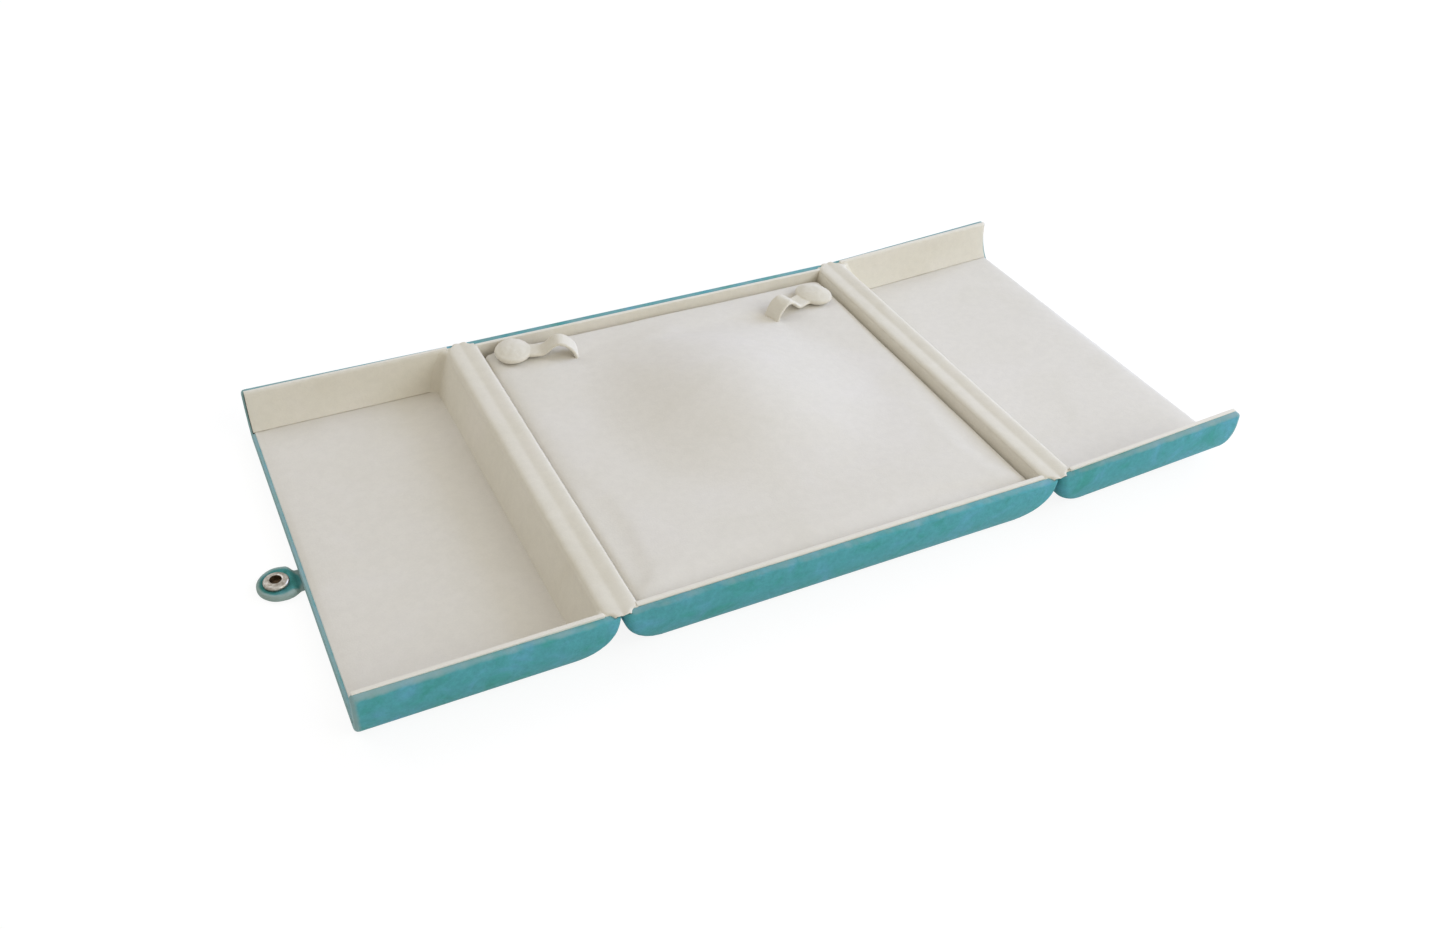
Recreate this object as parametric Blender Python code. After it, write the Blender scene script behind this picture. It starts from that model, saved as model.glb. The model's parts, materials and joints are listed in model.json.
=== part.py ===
"""Necklace presentation box: a tray with a display pad, two half lids, two straps and a snap tab.

The origin is the middle of the base's underside. +Z is up, -Y is the front, and the lids open
to -X and +X. Every length is in metres.
"""
import math

import bmesh
import bpy
from mathutils import Matrix, Vector

# The closed box
BOX_WIDTH = 0.190             # from hinge axis to hinge axis
BOX_DEPTH = 0.190             # front to back
SHELL_HEIGHT = 0.0225         # the tray's height, and each lid's
MEETING_GAP = 0.0006          # between the free edges of the closed lids
AXIS_LIFT = 0.0002            # the hinge axes stand this far above the rims
HINGE_CLEARANCE = 0.00025     # from a hinge-side wall to its axis plane
FIT = 0.0003                  # between pieces that are glued or touch

# How the walls curve in under the rim: reach inward, straight part above, power of the curve
SIDE_REACH = 0.0085
SIDE_STRAIGHT = 0.0055
HINGE_REACH = 0.015
HINGE_STRAIGHT = 0.0015
CURVE_POWER = 1.7
END_ROUND = 0.0025            # round along the outer edge of a lid's free end
END_POWER = 2.0
PLAN_CORNER = 0.003           # corner radius seen from above, at the rim
PLAN_CORNER_SHARE = 0.6       # how much of the walls' inset the corner radius gains
END_CORNER = 0.001            # corner radius of a lid's wall ends
LEAST_CORNER = 0.0004
CURVE_STEPS = 10
CORNER_STEPS = 5
END_CORNER_STEPS = 2

# Layers of a wall, from outside in
VELVET = 0.0008
GLUE_LINE = 0.00025
SHELL_WALL = 0.0016
RIM_WIDTH = 0.003             # the velvet turned over the rim
CARD_OFFSET = 0.00335         # from the outer face to the lid's lining card
CARD = 0.0011
LID_CARD_PROUD = 0.0009       # the lid's card edge stands above the rim
BASE_CARD_PROUD = 0.0005
END_SETBACK = 0.0009          # from a lid's free end to its lining

# Cloth hinge and the padded rolls beside it
HINGE_REBATE = 0.001          # the hinge walls end this far below the rims
HINGE_CLOTH = 0.0005
HINGE_CLOTH_SETBACK = 0.0015  # from the front and back faces to the cloth's ends
ROLL_TOP_FALL = 0.0015        # height of a roll's rounded top
ROLL_STEPS = 8
LID_ROLL_FACE = 0.0077        # hinge axis to the lid roll's face at the rim
LID_ROLL_FOOT = 0.0139        # hinge axis to the same face at the floor
BASE_ROLL_FACE = 0.0072       # hinge axis to the base roll's face
BASE_CARD_SETBACK = 0.0081    # hinge axis to the base cards' ends

# Lid floor pad
FLOOR_PAD = 0.00155
FLOOR_PAD_FLARE = 0.0008
FLOOR_PAD_ROUND = 0.0006
FLOOR_PAD_CORNER = 0.003

# Inside the base: risers, board and display pad
RISER_HEIGHT = 0.0058
RISER_SETBACK = 0.001         # from the flat part of the shell's floor
RISER_BAR = 0.010
BOARD = 0.0015
PAD_SIDE_GAP = 0.00035        # between the pad and the cards beside it
PAD_DROP = 0.0033             # from the rim down to the pad's flat top
PAD_CORNER = 0.007
PAD_FOOT_INSET = 0.0008
PAD_BULGE_SHARE = 0.36        # of the pad's thickness, where its sides stand out most
PAD_EDGE_FALL = 0.0018
PAD_EDGE_INSET = 0.0024
PAD_DRAW_IN = 0.0006          # the sides pull in between the corners
PAD_CORNER_STEPS = 4
PAD_SIDE_STEPS = 8
MOUND_X = 0.003
MOUND_Y = 0.016
MOUND_SIDE_MARGIN = 0.031     # half the box's width less the mound's half width
MOUND_END_MARGIN = 0.019      # the same along its depth
MOUND_HEIGHT = 0.0095
MOUND_RING_SHARES = (1, 0.86, 0.72, 0.56, 0.38, 0.18)
MOUND_CORE_SHARE = 0.72       # of the mound's half sizes, where its oval rings begin
PAD_EDGE_RINGS = 5

# Snap fasteners: sockets, studs and what backs them
SOCKET_RADIUS = 0.0052
SOCKET_LIP_RADIUS = 0.0040
SOCKET_MOUTH_RADIUS = 0.0030
SOCKET_HEIGHT = 0.0022
SOCKET_SHOULDER = 0.0009
SOCKET_BORE_RADIUS = 0.0023
SOCKET_BORE_DEPTH = 0.0017
SNAP_BARREL_RADIUS = 0.0013
SNAP_HOLE_RADIUS = 0.0016
STUD_FLANGE_RADIUS = 0.0048
STUD_FLANGE = 0.0008
STUD_NECK_RADIUS = 0.0016
STUD_BULB_RADIUS = 0.0020
STUD_TIP_RADIUS = 0.0015
STUD_POST_SHARES = (0.45, 0.65, 0.85)
BACKPLATE_RADIUS = 0.004
BACKPLATE = 0.0006
SNAP_STEPS = 24

# Snap tab on the left lid's free edge
TAB_SHIFT = 0.0075            # towards the front, from the box's middle
TAB_ROOT = 0.001              # thickness at the pivot
TAB_THICKNESS = 0.0011
TAB_NECK_WIDTH = 0.0130
TAB_HEAD_RADIUS = 0.00875
TAB_HEAD_REACH = 0.0071       # pivot to the middle of the round head
TAB_SNAP_REACH = 0.0085       # pivot to the snap's middle
TAB_RAMP = 0.0035             # length over which the neck rises to the head
TAB_STEPS = 14
TAB_CAP_RADIUS = 0.0062
TAB_CAP = 0.0008
TAB_CAP_ROUND = 0.0003
LID_STUD_POST = 0.0033

# Holding straps: where their padded ends lie, and the arch over the chain
LEFT_STRAP_INSET = (0.0200, 0.0155)     # from the hinge axis and from the back
RIGHT_STRAP_INSET = (0.0205, 0.0240)
STRAP_ANGLE = math.radians(17)
STRAP_REACH = 0.028           # pivot to the middle of the padded end
STRAP_WIDTH = 0.009
STRAP_THICKNESS = 0.0012
STRAP_FLOAT = 0.0005          # pivot above the pad
STRAP_ARCH_SPAN = 0.0155
STRAP_ARCH_HEIGHT = 0.007
STRAP_FLAT_HEIGHT = 0.0013
STRAP_OVERLAP = 0.002         # how far the band runs into its padded end
STRAP_ARCH_STEPS = 14
STRAP_END_HALF_LENGTH = 0.008
STRAP_END_HALF_WIDTH = 0.0095
STRAP_END_LOW = 0.00045
STRAP_END_HEIGHT = 0.0040
STRAP_END_PROFILE_SHARES = ((0.86, 0.0), (1.0, 0.3), (0.95, 0.62), (0.78, 0.86), (0.45, 1.0))
STRAP_END_STEPS = 24
STRAP_STUD_POST = 0.0015
STRAP_STUD_BARREL = 0.0025
STRAP_SOCKET_LOW = 0.0008
SLIT_DEPTH = 0.0018
SLIT_CLEARANCE = 0.0005       # beside the band, so that the strap can fold back

# Working values
OVERRUN = 0.002               # how far a cutter runs past what it cuts
MERGE = 0.000001
SHARP_ANGLE = math.radians(35)
QUARTER = math.radians(90)

# Worked out from the values above
HALF_WIDTH = BOX_WIDTH / 2
HALF_DEPTH = BOX_DEPTH / 2
AXIS_HEIGHT = SHELL_HEIGHT + AXIS_LIFT
LID_LENGTH = HALF_WIDTH - MEETING_GAP / 2
SIDE_FALL = SHELL_HEIGHT - SIDE_STRAIGHT
HINGE_FALL = SHELL_HEIGHT - HINGE_STRAIGHT
SHELL_OFFSET = VELVET + GLUE_LINE
LINING_OFFSET = SHELL_OFFSET + SHELL_WALL + FIT
LINING_DEPTH = SHELL_HEIGHT - LINING_OFFSET
FLOOR_DEPTH = LINING_DEPTH - FLOOR_PAD
CARD_FOOT_DEPTH = FLOOR_DEPTH - FIT
BASE_CARD_OFFSET = CARD_OFFSET + CARD + FIT
PAD_OFFSET = BASE_CARD_OFFSET + CARD + PAD_SIDE_GAP
PAD_HALF_WIDTH = HALF_WIDTH - BASE_ROLL_FACE - FIT
PAD_HALF_DEPTH = HALF_DEPTH - PAD_OFFSET
BOARD_LOW = LINING_OFFSET + RISER_HEIGHT + FIT
PAD_LOW = BOARD_LOW + BOARD + FIT
PAD_TOP = SHELL_HEIGHT - PAD_DROP
PAD_BULGE_HEIGHT = PAD_LOW + (PAD_TOP - PAD_LOW) * PAD_BULGE_SHARE
MOUND_HALF_WIDTH = HALF_WIDTH - MOUND_SIDE_MARGIN
MOUND_HALF_DEPTH = HALF_DEPTH - MOUND_END_MARGIN
LEFT_STRAP_END = (LEFT_STRAP_INSET[0] - HALF_WIDTH, HALF_DEPTH - LEFT_STRAP_INSET[1])
RIGHT_STRAP_END = (HALF_WIDTH - RIGHT_STRAP_INSET[0], HALF_DEPTH - RIGHT_STRAP_INSET[1])
STUD_REACH = LID_LENGTH + MEETING_GAP / 2 - TAB_SNAP_REACH
LID_STUD_HEIGHT = FIT + STUD_FLANGE + LID_STUD_POST
WALLS = {
    "side": (SIDE_REACH, SIDE_FALL, CURVE_POWER),
    "hinge": (HINGE_REACH, HINGE_FALL, CURVE_POWER),
    "end": (END_ROUND, END_ROUND, END_POWER),
}


def resting_tilt():
    """The angle at which the right lid lies raised on its own stud."""
    reach = STUD_REACH - STUD_TIP_RADIUS
    drop = AXIS_HEIGHT + LID_STUD_HEIGHT
    return math.atan2(drop, reach) - math.asin(AXIS_HEIGHT / math.hypot(reach, drop))


# Materials
def make_material(name, color, roughness, metallic):
    material = bpy.data.materials.new(name)
    material.use_nodes = True
    shader = material.node_tree.nodes["Principled BSDF"]
    shader.inputs["Base Color"].default_value = (*color, 1)
    shader.inputs["Roughness"].default_value = roughness
    shader.inputs["Metallic"].default_value = metallic
    material.diffuse_color = (*color, 1)
    return material


def make_materials():
    return {
        "teal_velvet": make_material("teal_velvet", (0.055, 0.245, 0.250), 0.9, 0),
        "cream_velvet": make_material("cream_velvet", (0.70, 0.66, 0.57), 0.9, 0),
        "cream_card": make_material("cream_card", (0.76, 0.72, 0.64), 0.8, 0),
        "tray_plastic": make_material("tray_plastic", (0.05, 0.10, 0.10), 0.6, 0),
        "grey_board": make_material("grey_board", (0.36, 0.34, 0.30), 0.9, 0),
        "snap_metal": make_material("snap_metal", (0.55, 0.52, 0.48), 0.35, 1),
    }


# Objects
def add_empty(name, place, turn=(0, 0, 0), parent=None):
    empty = bpy.data.objects.new(name, None)
    empty.location = place
    empty.rotation_euler = turn
    empty.parent = parent
    bpy.context.scene.collection.objects.link(empty)
    return empty


def add_piece(name, form, material, parent=None, place=(0, 0, 0)):
    """Turn a bmesh into an object, smooth over its round faces."""
    bmesh.ops.recalc_face_normals(form, faces=form.faces)
    mesh = bpy.data.meshes.new(name)
    form.to_mesh(mesh)
    form.free()
    mesh.shade_smooth()
    mesh.set_sharp_from_angle(angle=SHARP_ANGLE)
    piece = bpy.data.objects.new(name, mesh)
    piece.location = place
    piece.parent = parent
    if material:
        mesh.materials.append(material)
    bpy.context.scene.collection.objects.link(piece)
    return piece


def shape_with(piece, form, operation="DIFFERENCE"):
    """Cut, join or trim a piece with a form given in the piece's own coordinates."""
    order = len(piece.modifiers) + 1
    tool = add_piece(f"{piece.name}_tool_{order}", form, None, piece.parent, piece.location)
    tool.hide_render = True
    tool.display_type = "WIRE"
    boolean = piece.modifiers.new(f"{operation.lower()}_{order}", "BOOLEAN")
    boolean.operation = operation
    boolean.solver = "EXACT"
    boolean.object = tool
    return tool


# Forms
def loft(rings):
    """A closed solid through rings of equally many points, with flat ends."""
    form = bmesh.new()
    rows = [[form.verts.new(point) for point in ring] for ring in rings]
    for lower, upper in zip(rows, rows[1:]):
        for here, place in enumerate(lower):
            after = (here + 1) % len(lower)
            form.faces.new((place, lower[after], upper[after], upper[here]))
    form.faces.new(list(reversed(rows[0])))
    form.faces.new(rows[-1])
    return form


def prism(outline, start, length):
    """Extrude a flat outline of 3-D points from start by the vector length."""
    form = bmesh.new()
    shift = Vector(start)
    base = form.faces.new([form.verts.new(Vector(point) + shift) for point in outline])
    grown = bmesh.ops.extrude_face_region(form, geom=[base])
    moved = [item for item in grown["geom"] if isinstance(item, bmesh.types.BMVert)]
    bmesh.ops.translate(form, verts=moved, vec=Vector(length))
    return form


def block(low, high):
    """A box between two corners."""
    outline = [(low[0], low[1], 0), (high[0], low[1], 0), (high[0], high[1], 0), (low[0], high[1], 0)]
    return prism(outline, (0, 0, low[2]), (0, 0, high[2] - low[2]))


def turned(profile, middle=(0, 0, 0), steps=SNAP_STEPS):
    """Spin a profile of (radius, height) points that starts and ends on the axis."""
    form = bmesh.new()
    points = [form.verts.new((radius, 0, height)) for radius, height in profile]
    edges = [form.edges.new(pair) for pair in zip(points, points[1:])]
    bmesh.ops.spin(
        form, geom=points + edges, cent=(0, 0, 0), axis=(0, 0, 1), angle=math.tau, steps=steps,
        use_merge=True)
    bmesh.ops.remove_doubles(form, verts=form.verts, dist=MERGE)
    bmesh.ops.translate(form, verts=form.verts, vec=Vector(middle))
    return form


def disc(radius, low, high, middle=(0, 0, 0), steps=SNAP_STEPS):
    return turned([(0, low), (radius, low), (radius, high), (0, high)], middle, steps)


def rounded_ring(x_low, x_high, y_half, z, low_corner, high_corner, side_steps=1):
    """A rounded rectangle. A corner is its radius and its number of steps."""
    sides = ((1, 1, high_corner), (-1, 1, low_corner), (-1, -1, low_corner), (1, -1, high_corner))
    corners = []
    for turn, (x_side, y_side, (radius, steps)) in enumerate(sides):
        middle_x = x_high - radius if x_side > 0 else x_low + radius
        middle_y = y_side * (y_half - radius)
        arc = []
        for step in range(steps + 1):
            angle = QUARTER * (turn + step / steps)
            arc.append((middle_x + radius * math.cos(angle), middle_y + radius * math.sin(angle)))
        corners.append(arc)
    points = []
    for arc, following in zip(corners, corners[1:] + corners[:1]):
        points.extend(arc)
        for step in range(1, side_steps):
            share = step / side_steps
            points.append(tuple(a + (b - a) * share for a, b in zip(arc[-1], following[0])))
    return [(x, y, z) for x, y in points]


# The trays: one curved form, offset inward layer by layer. A tray's rim plane is z = 0, and its
# depth is measured down from there. The base runs between two hinge walls; a lid runs from its
# hinge axis at x = 0 to its free end.
def wall_inset(wall, depth, offset):
    """How far in a layer of a wall stands at a depth, measured from the rim's outer edge."""
    reach, fall, power = WALLS[wall]
    if offset >= reach:
        return offset
    share = (depth - (SHELL_HEIGHT - fall)) / (fall - offset)
    share = min(max(share, 0), 1)
    return offset + (reach - offset) * (1 - (1 - share ** power) ** (1 / power))


def tray_form(tray, top, hinge_offset, side_offset, end=None):
    """The tray's outer form, set in by an offset, as a solid from the depth top to its floor."""
    least = min(hinge_offset, side_offset)
    most = max(hinge_offset, side_offset)
    depths = [top]
    for step in range(1, CURVE_STEPS + 1):
        swing = math.sin(QUARTER * step / CURVE_STEPS) ** (2 / CURVE_POWER)
        depths.append(SHELL_HEIGHT - HINGE_FALL + (HINGE_FALL - least) * swing)
    rings = []
    for depth in depths:
        hinge_inset = wall_inset("hinge", depth, hinge_offset)
        side_inset = wall_inset("side", depth, side_offset)
        gained = PLAN_CORNER_SHARE * (min(hinge_inset, side_inset) - least)
        corner = (max(PLAN_CORNER - most, LEAST_CORNER) + max(gained, 0), CORNER_STEPS)
        if tray == "base":
            x_high = HALF_WIDTH - HINGE_CLEARANCE - hinge_inset
            x_low = -x_high
            far_corner = corner
        else:
            x_low = HINGE_CLEARANCE + hinge_inset
            x_high = end if end else LID_LENGTH - wall_inset("end", depth, hinge_offset)
            far_corner = (max(END_CORNER - most, LEAST_CORNER), END_CORNER_STEPS)
        rings.append(rounded_ring(x_low, x_high, HALF_DEPTH - side_inset, -depth, corner, far_corner))
    return loft(rings)


def hinge_sides(tray):
    """Where a tray's hinge axes stand along x, and which way is inward from each."""
    if tray == "base":
        return ((-HALF_WIDTH, 1), (HALF_WIDTH, -1))
    return ((0, 1),)


def make_tray(name, tray, parent, place, materials):
    """The velvet cover with its turned rim, and the stiff shell inside it."""
    open_end = LID_LENGTH + OVERRUN
    cover = add_piece(
        f"{name}_velvet_cover", tray_form(tray, 0, 0, 0), materials["teal_velvet"], parent, place)
    shape_with(cover, tray_form(tray, VELVET, VELVET, VELVET))
    shape_with(cover, tray_form(tray, -OVERRUN, RIM_WIDTH, RIM_WIDTH, open_end))
    for axis_x, inward in hinge_sides(tray):
        near = axis_x - inward * OVERRUN
        far = axis_x + inward * (HINGE_CLEARANCE + RIM_WIDTH + FIT)
        shape_with(cover, block(
            (min(near, far), -HALF_DEPTH - OVERRUN, -HINGE_REBATE),
            (max(near, far), HALF_DEPTH + OVERRUN, OVERRUN)))
    inner = SHELL_OFFSET + SHELL_WALL
    shell = add_piece(
        f"{name}_shell", tray_form(tray, SHELL_OFFSET, SHELL_OFFSET, SHELL_OFFSET),
        materials["tray_plastic"], parent, place)
    shape_with(shell, tray_form(tray, -OVERRUN, inner, inner, open_end))
    return cover, shell


def make_roll(name, tray, axis_x, inward, face, foot, foot_depth, parent, place, material):
    """A padded roll on a hinge wall: it follows the shell's curve and rounds over at the rim."""
    near = HINGE_CLEARANCE + LINING_OFFSET
    middle = (near + face) / 2
    half = (face - near) / 2
    outline = []
    for step in range(ROLL_STEPS + 1):
        angle = math.pi * step / ROLL_STEPS
        outline.append((middle - half * math.cos(angle), ROLL_TOP_FALL * (1 - math.sin(angle))))
    outline.append((foot, foot_depth))
    for step in range(ROLL_STEPS):
        depth = foot_depth + (ROLL_TOP_FALL - foot_depth) * step / ROLL_STEPS
        outline.append((HINGE_CLEARANCE + wall_inset("hinge", depth, LINING_OFFSET), depth))
    corners = [(axis_x + inward * reach, 0, -depth) for reach, depth in outline]
    roll = add_piece(
        name, prism(corners, (0, -HALF_DEPTH, 0), (0, BOX_DEPTH, 0)), material, parent, place)
    keep = tray_form(tray, -OVERRUN, 0, BASE_CARD_OFFSET, LID_LENGTH)
    shape_with(roll, keep, "INTERSECT")
    return roll


def make_lid_card(name, side, parent, place, material):
    """A lining card that follows the lid's side wall and stands a little proud of the rim."""
    depths = [-LID_CARD_PROUD]
    for step in range(CURVE_STEPS + 1):
        swing = math.sin(QUARTER * step / CURVE_STEPS)
        depths.append(SHELL_HEIGHT - SIDE_FALL + (CARD_FOOT_DEPTH - SHELL_HEIGHT + SIDE_FALL) * swing)
    outer = [(HALF_DEPTH - wall_inset("side", depth, CARD_OFFSET), depth) for depth in depths]
    inner = [(HALF_DEPTH - wall_inset("side", depth, CARD_OFFSET + CARD), depth) for depth in depths]
    corners = [(0, side * reach, -depth) for reach, depth in outer + inner[::-1]]
    card = add_piece(
        name, prism(corners, (HINGE_CLEARANCE, 0, 0), (LID_LENGTH - END_SETBACK, 0, 0)),
        material, parent, place)
    keep = tray_form(
        "lid", -LID_CARD_PROUD - OVERRUN, LINING_OFFSET + CARD, VELVET, LID_LENGTH - END_SETBACK)
    shape_with(card, keep, "INTERSECT")
    return card


def make_floor_pad(name, parent, place, material):
    """The padded panel on a lid's floor, with a rounded upper edge."""
    levels = (
        (LINING_DEPTH, 0),
        (LINING_DEPTH - FLOOR_PAD_ROUND, -FLOOR_PAD_FLARE),
        (FLOOR_DEPTH + FLOOR_PAD_ROUND / 2, -FLOOR_PAD_FLARE),
        (FLOOR_DEPTH, FLOOR_PAD_ROUND - FLOOR_PAD_FLARE),
    )
    rings = []
    for depth, inset in levels:
        corner = (FLOOR_PAD_CORNER, CORNER_STEPS)
        rings.append(rounded_ring(
            HINGE_CLEARANCE + HINGE_REACH + FIT + inset, LID_LENGTH - END_SETBACK - max(inset, 0),
            HALF_DEPTH - SIDE_REACH - FIT - inset, -depth, corner, (END_CORNER, END_CORNER_STEPS)))
    return add_piece(name, loft(rings), material, parent, place)


def make_lid(name, hinge, materials):
    """One half lid: cover, shell, lining cards, hinge roll and floor pad."""
    place = (0, 0, -AXIS_LIFT)
    front = 1 if name == "left_lid" else -1
    cover, shell = make_tray(name, "lid", hinge, place, materials)
    cream = materials["cream_velvet"]
    make_lid_card(f"{name}_front_lining_card", front, hinge, place, materials["cream_card"])
    make_lid_card(f"{name}_back_lining_card", -front, hinge, place, materials["cream_card"])
    make_roll(
        f"{name}_hinge_roll", "lid", 0, 1, LID_ROLL_FACE, LID_ROLL_FOOT, CARD_FOOT_DEPTH,
        hinge, place, cream)
    floor_pad = make_floor_pad(f"{name}_floor_pad", hinge, place, cream)
    return cover, shell, floor_pad


def make_hinge_cloth(name, side, tilt, material):
    """The cloth hinge: a strip glued over both walls, folded on the hinge axis."""
    low = -(AXIS_LIFT + HINGE_REBATE - FIT)
    high = low + HINGE_CLOTH
    width = HINGE_CLEARANCE + SHELL_OFFSET + SHELL_WALL
    outline = []
    for height, order in ((low, 1), (high, -1)):
        lid_end = (
            width * math.cos(tilt) - height * math.sin(tilt),
            width * math.sin(tilt) + height * math.cos(tilt))
        row = [(-width, height), (0, height), lid_end]
        outline.extend(row[::order])
    corners = [(side * (HALF_WIDTH + reach), 0, AXIS_HEIGHT + height) for reach, height in outline]
    half = HALF_DEPTH - HINGE_CLOTH_SETBACK
    return add_piece(name, prism(corners, (0, -half, 0), (0, 2 * half, 0)), material)


# The base's fittings
def make_base_fittings(materials):
    """Lining cards, hinge rolls, and the risers and board that carry the display pad."""
    half = HALF_WIDTH - BASE_CARD_SETBACK
    for word, side in (("front", -1), ("back", 1)):
        near = side * (HALF_DEPTH - BASE_CARD_OFFSET - CARD)
        far = side * (HALF_DEPTH - BASE_CARD_OFFSET)
        add_piece(
            f"base_{word}_lining_card",
            block((-half, min(near, far), BOARD_LOW),
                  (half, max(near, far), SHELL_HEIGHT + BASE_CARD_PROUD)),
            materials["cream_card"])
    for word, (axis_x, inward) in zip(("left", "right"), hinge_sides("base")):
        make_roll(
            f"base_{word}_hinge_roll", "base", axis_x, inward, BASE_ROLL_FACE, BASE_ROLL_FACE,
            SHELL_HEIGHT - PAD_LOW, None, (0, 0, SHELL_HEIGHT), materials["cream_velvet"])
    outer_x = HALF_WIDTH - HINGE_CLEARANCE - HINGE_REACH - RISER_SETBACK - RISER_BAR / 2
    half_length = HALF_DEPTH - SIDE_REACH - RISER_SETBACK
    for word, middle in (("left", -outer_x), ("middle", 0), ("right", outer_x)):
        add_piece(
            f"pad_riser_{word}",
            block((middle - RISER_BAR / 2, -half_length, LINING_OFFSET),
                  (middle + RISER_BAR / 2, half_length, LINING_OFFSET + RISER_HEIGHT)),
            materials["grey_board"])
    corner = (PAD_CORNER, CORNER_STEPS)
    rings = [
        rounded_ring(-PAD_HALF_WIDTH, PAD_HALF_WIDTH, PAD_HALF_DEPTH, height, corner, corner)
        for height in (BOARD_LOW, BOARD_LOW + BOARD)]
    add_piece("pad_board", loft(rings), materials["grey_board"])


def pad_height(x, y):
    """The height of the display pad's top: flat, with a smooth oval mound."""
    reach = math.hypot((x - MOUND_X) / MOUND_HALF_WIDTH, (y - MOUND_Y) / MOUND_HALF_DEPTH)
    reach = min(reach, 1)
    return PAD_TOP + MOUND_HEIGHT * (1 - reach * reach * (3 - 2 * reach))


def pad_ring(inset, height):
    """One ring round the pad, with its sides drawn in between the corners."""
    corner = (PAD_CORNER, PAD_CORNER_STEPS)
    half_x = PAD_HALF_WIDTH - inset
    half_y = PAD_HALF_DEPTH - inset
    ring = []
    for x, y, z in rounded_ring(-half_x, half_x, half_y, height, corner, corner, PAD_SIDE_STEPS):
        nearness = min(abs(x) / half_x, abs(y) / half_y)
        draw = PAD_DRAW_IN * (1 - nearness * nearness)
        ring.append((x * (1 - draw / half_x), y * (1 - draw / half_y), z))
    return ring


def make_display_pad(material, strap_empties):
    """The crowned pad, its mound, the straps' slits and the holes of their studs."""
    edge = pad_ring(PAD_EDGE_INSET, PAD_TOP)
    rings = [
        pad_ring(PAD_FOOT_INSET, PAD_LOW),
        pad_ring(0, PAD_BULGE_HEIGHT),
        pad_ring(0, PAD_TOP - PAD_EDGE_FALL),
        pad_ring(PAD_EDGE_INSET / 3, PAD_TOP - PAD_EDGE_FALL / 3),
        edge,
    ]
    oval = []
    for x, y, _ in edge:
        angle = math.atan2((y - MOUND_Y) / MOUND_HALF_DEPTH, (x - MOUND_X) / MOUND_HALF_WIDTH)
        oval.append((math.cos(angle) * MOUND_HALF_WIDTH, math.sin(angle) * MOUND_HALF_DEPTH))
    core = [
        (MOUND_X + x * MOUND_CORE_SHARE, MOUND_Y + y * MOUND_CORE_SHARE) for x, y in oval]
    for step in range(1, PAD_EDGE_RINGS):
        share = step / PAD_EDGE_RINGS
        ring = []
        for (x, y, _), (core_x, core_y) in zip(edge, core):
            place = (x + (core_x - x) * share, y + (core_y - y) * share)
            ring.append((*place, pad_height(*place)))
        rings.append(ring)
    for share in MOUND_RING_SHARES:
        share = share * MOUND_CORE_SHARE
        places = [(MOUND_X + x * share, MOUND_Y + y * share) for x, y in oval]
        rings.append([(*place, pad_height(*place)) for place in places])
    pad = add_piece("display_pad", loft(rings), material)
    half_slit = STRAP_THICKNESS / 2 + SLIT_CLEARANCE
    half_width = STRAP_WIDTH / 2 + FIT
    for empty in strap_empties:
        slit = block((-half_slit, -half_width, -SLIT_DEPTH), (half_slit, half_width, OVERRUN))
        hole = disc(SNAP_HOLE_RADIUS, -STRAP_STUD_BARREL - FIT, OVERRUN, (STRAP_REACH, 0, 0))
        for form in (slit, hole):
            bmesh.ops.transform(form, matrix=empty.matrix_basis, verts=form.verts)
            shape_with(pad, form)
    return pad


# Snap fasteners. Both are turned, with the seat at z = 0 and the working end at +z.
def socket_form(middle, flip=1, barrel=0):
    profile = [
        (0, -barrel), (SNAP_BARREL_RADIUS, -barrel), (SNAP_BARREL_RADIUS, 0), (SOCKET_RADIUS, 0),
        (SOCKET_RADIUS, SOCKET_SHOULDER), (SOCKET_LIP_RADIUS, SOCKET_HEIGHT - FIT),
        (SOCKET_MOUTH_RADIUS, SOCKET_HEIGHT), (SOCKET_BORE_RADIUS, SOCKET_HEIGHT - FIT),
        (SOCKET_BORE_RADIUS, SOCKET_HEIGHT - SOCKET_BORE_DEPTH),
        (0, SOCKET_HEIGHT - SOCKET_BORE_DEPTH)]
    if not barrel:
        profile = [(0, 0)] + profile[3:]
    return turned([(radius, flip * height) for radius, height in profile], middle)


def stud_form(middle, post, barrel, flip=1):
    neck, swell, shoulder = (STUD_FLANGE + post * share for share in STUD_POST_SHARES)
    profile = [
        (0, -barrel), (SNAP_BARREL_RADIUS, -barrel), (SNAP_BARREL_RADIUS, 0),
        (STUD_FLANGE_RADIUS, 0), (STUD_FLANGE_RADIUS, STUD_FLANGE / 2),
        (STUD_FLANGE_RADIUS - STUD_FLANGE / 2, STUD_FLANGE), (STUD_NECK_RADIUS, STUD_FLANGE),
        (STUD_NECK_RADIUS, neck), (STUD_BULB_RADIUS, swell), (STUD_BULB_RADIUS, shoulder),
        (STUD_TIP_RADIUS, STUD_FLANGE + post), (0, STUD_FLANGE + post)]
    return turned([(radius, flip * height) for radius, height in profile], middle)


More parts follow.
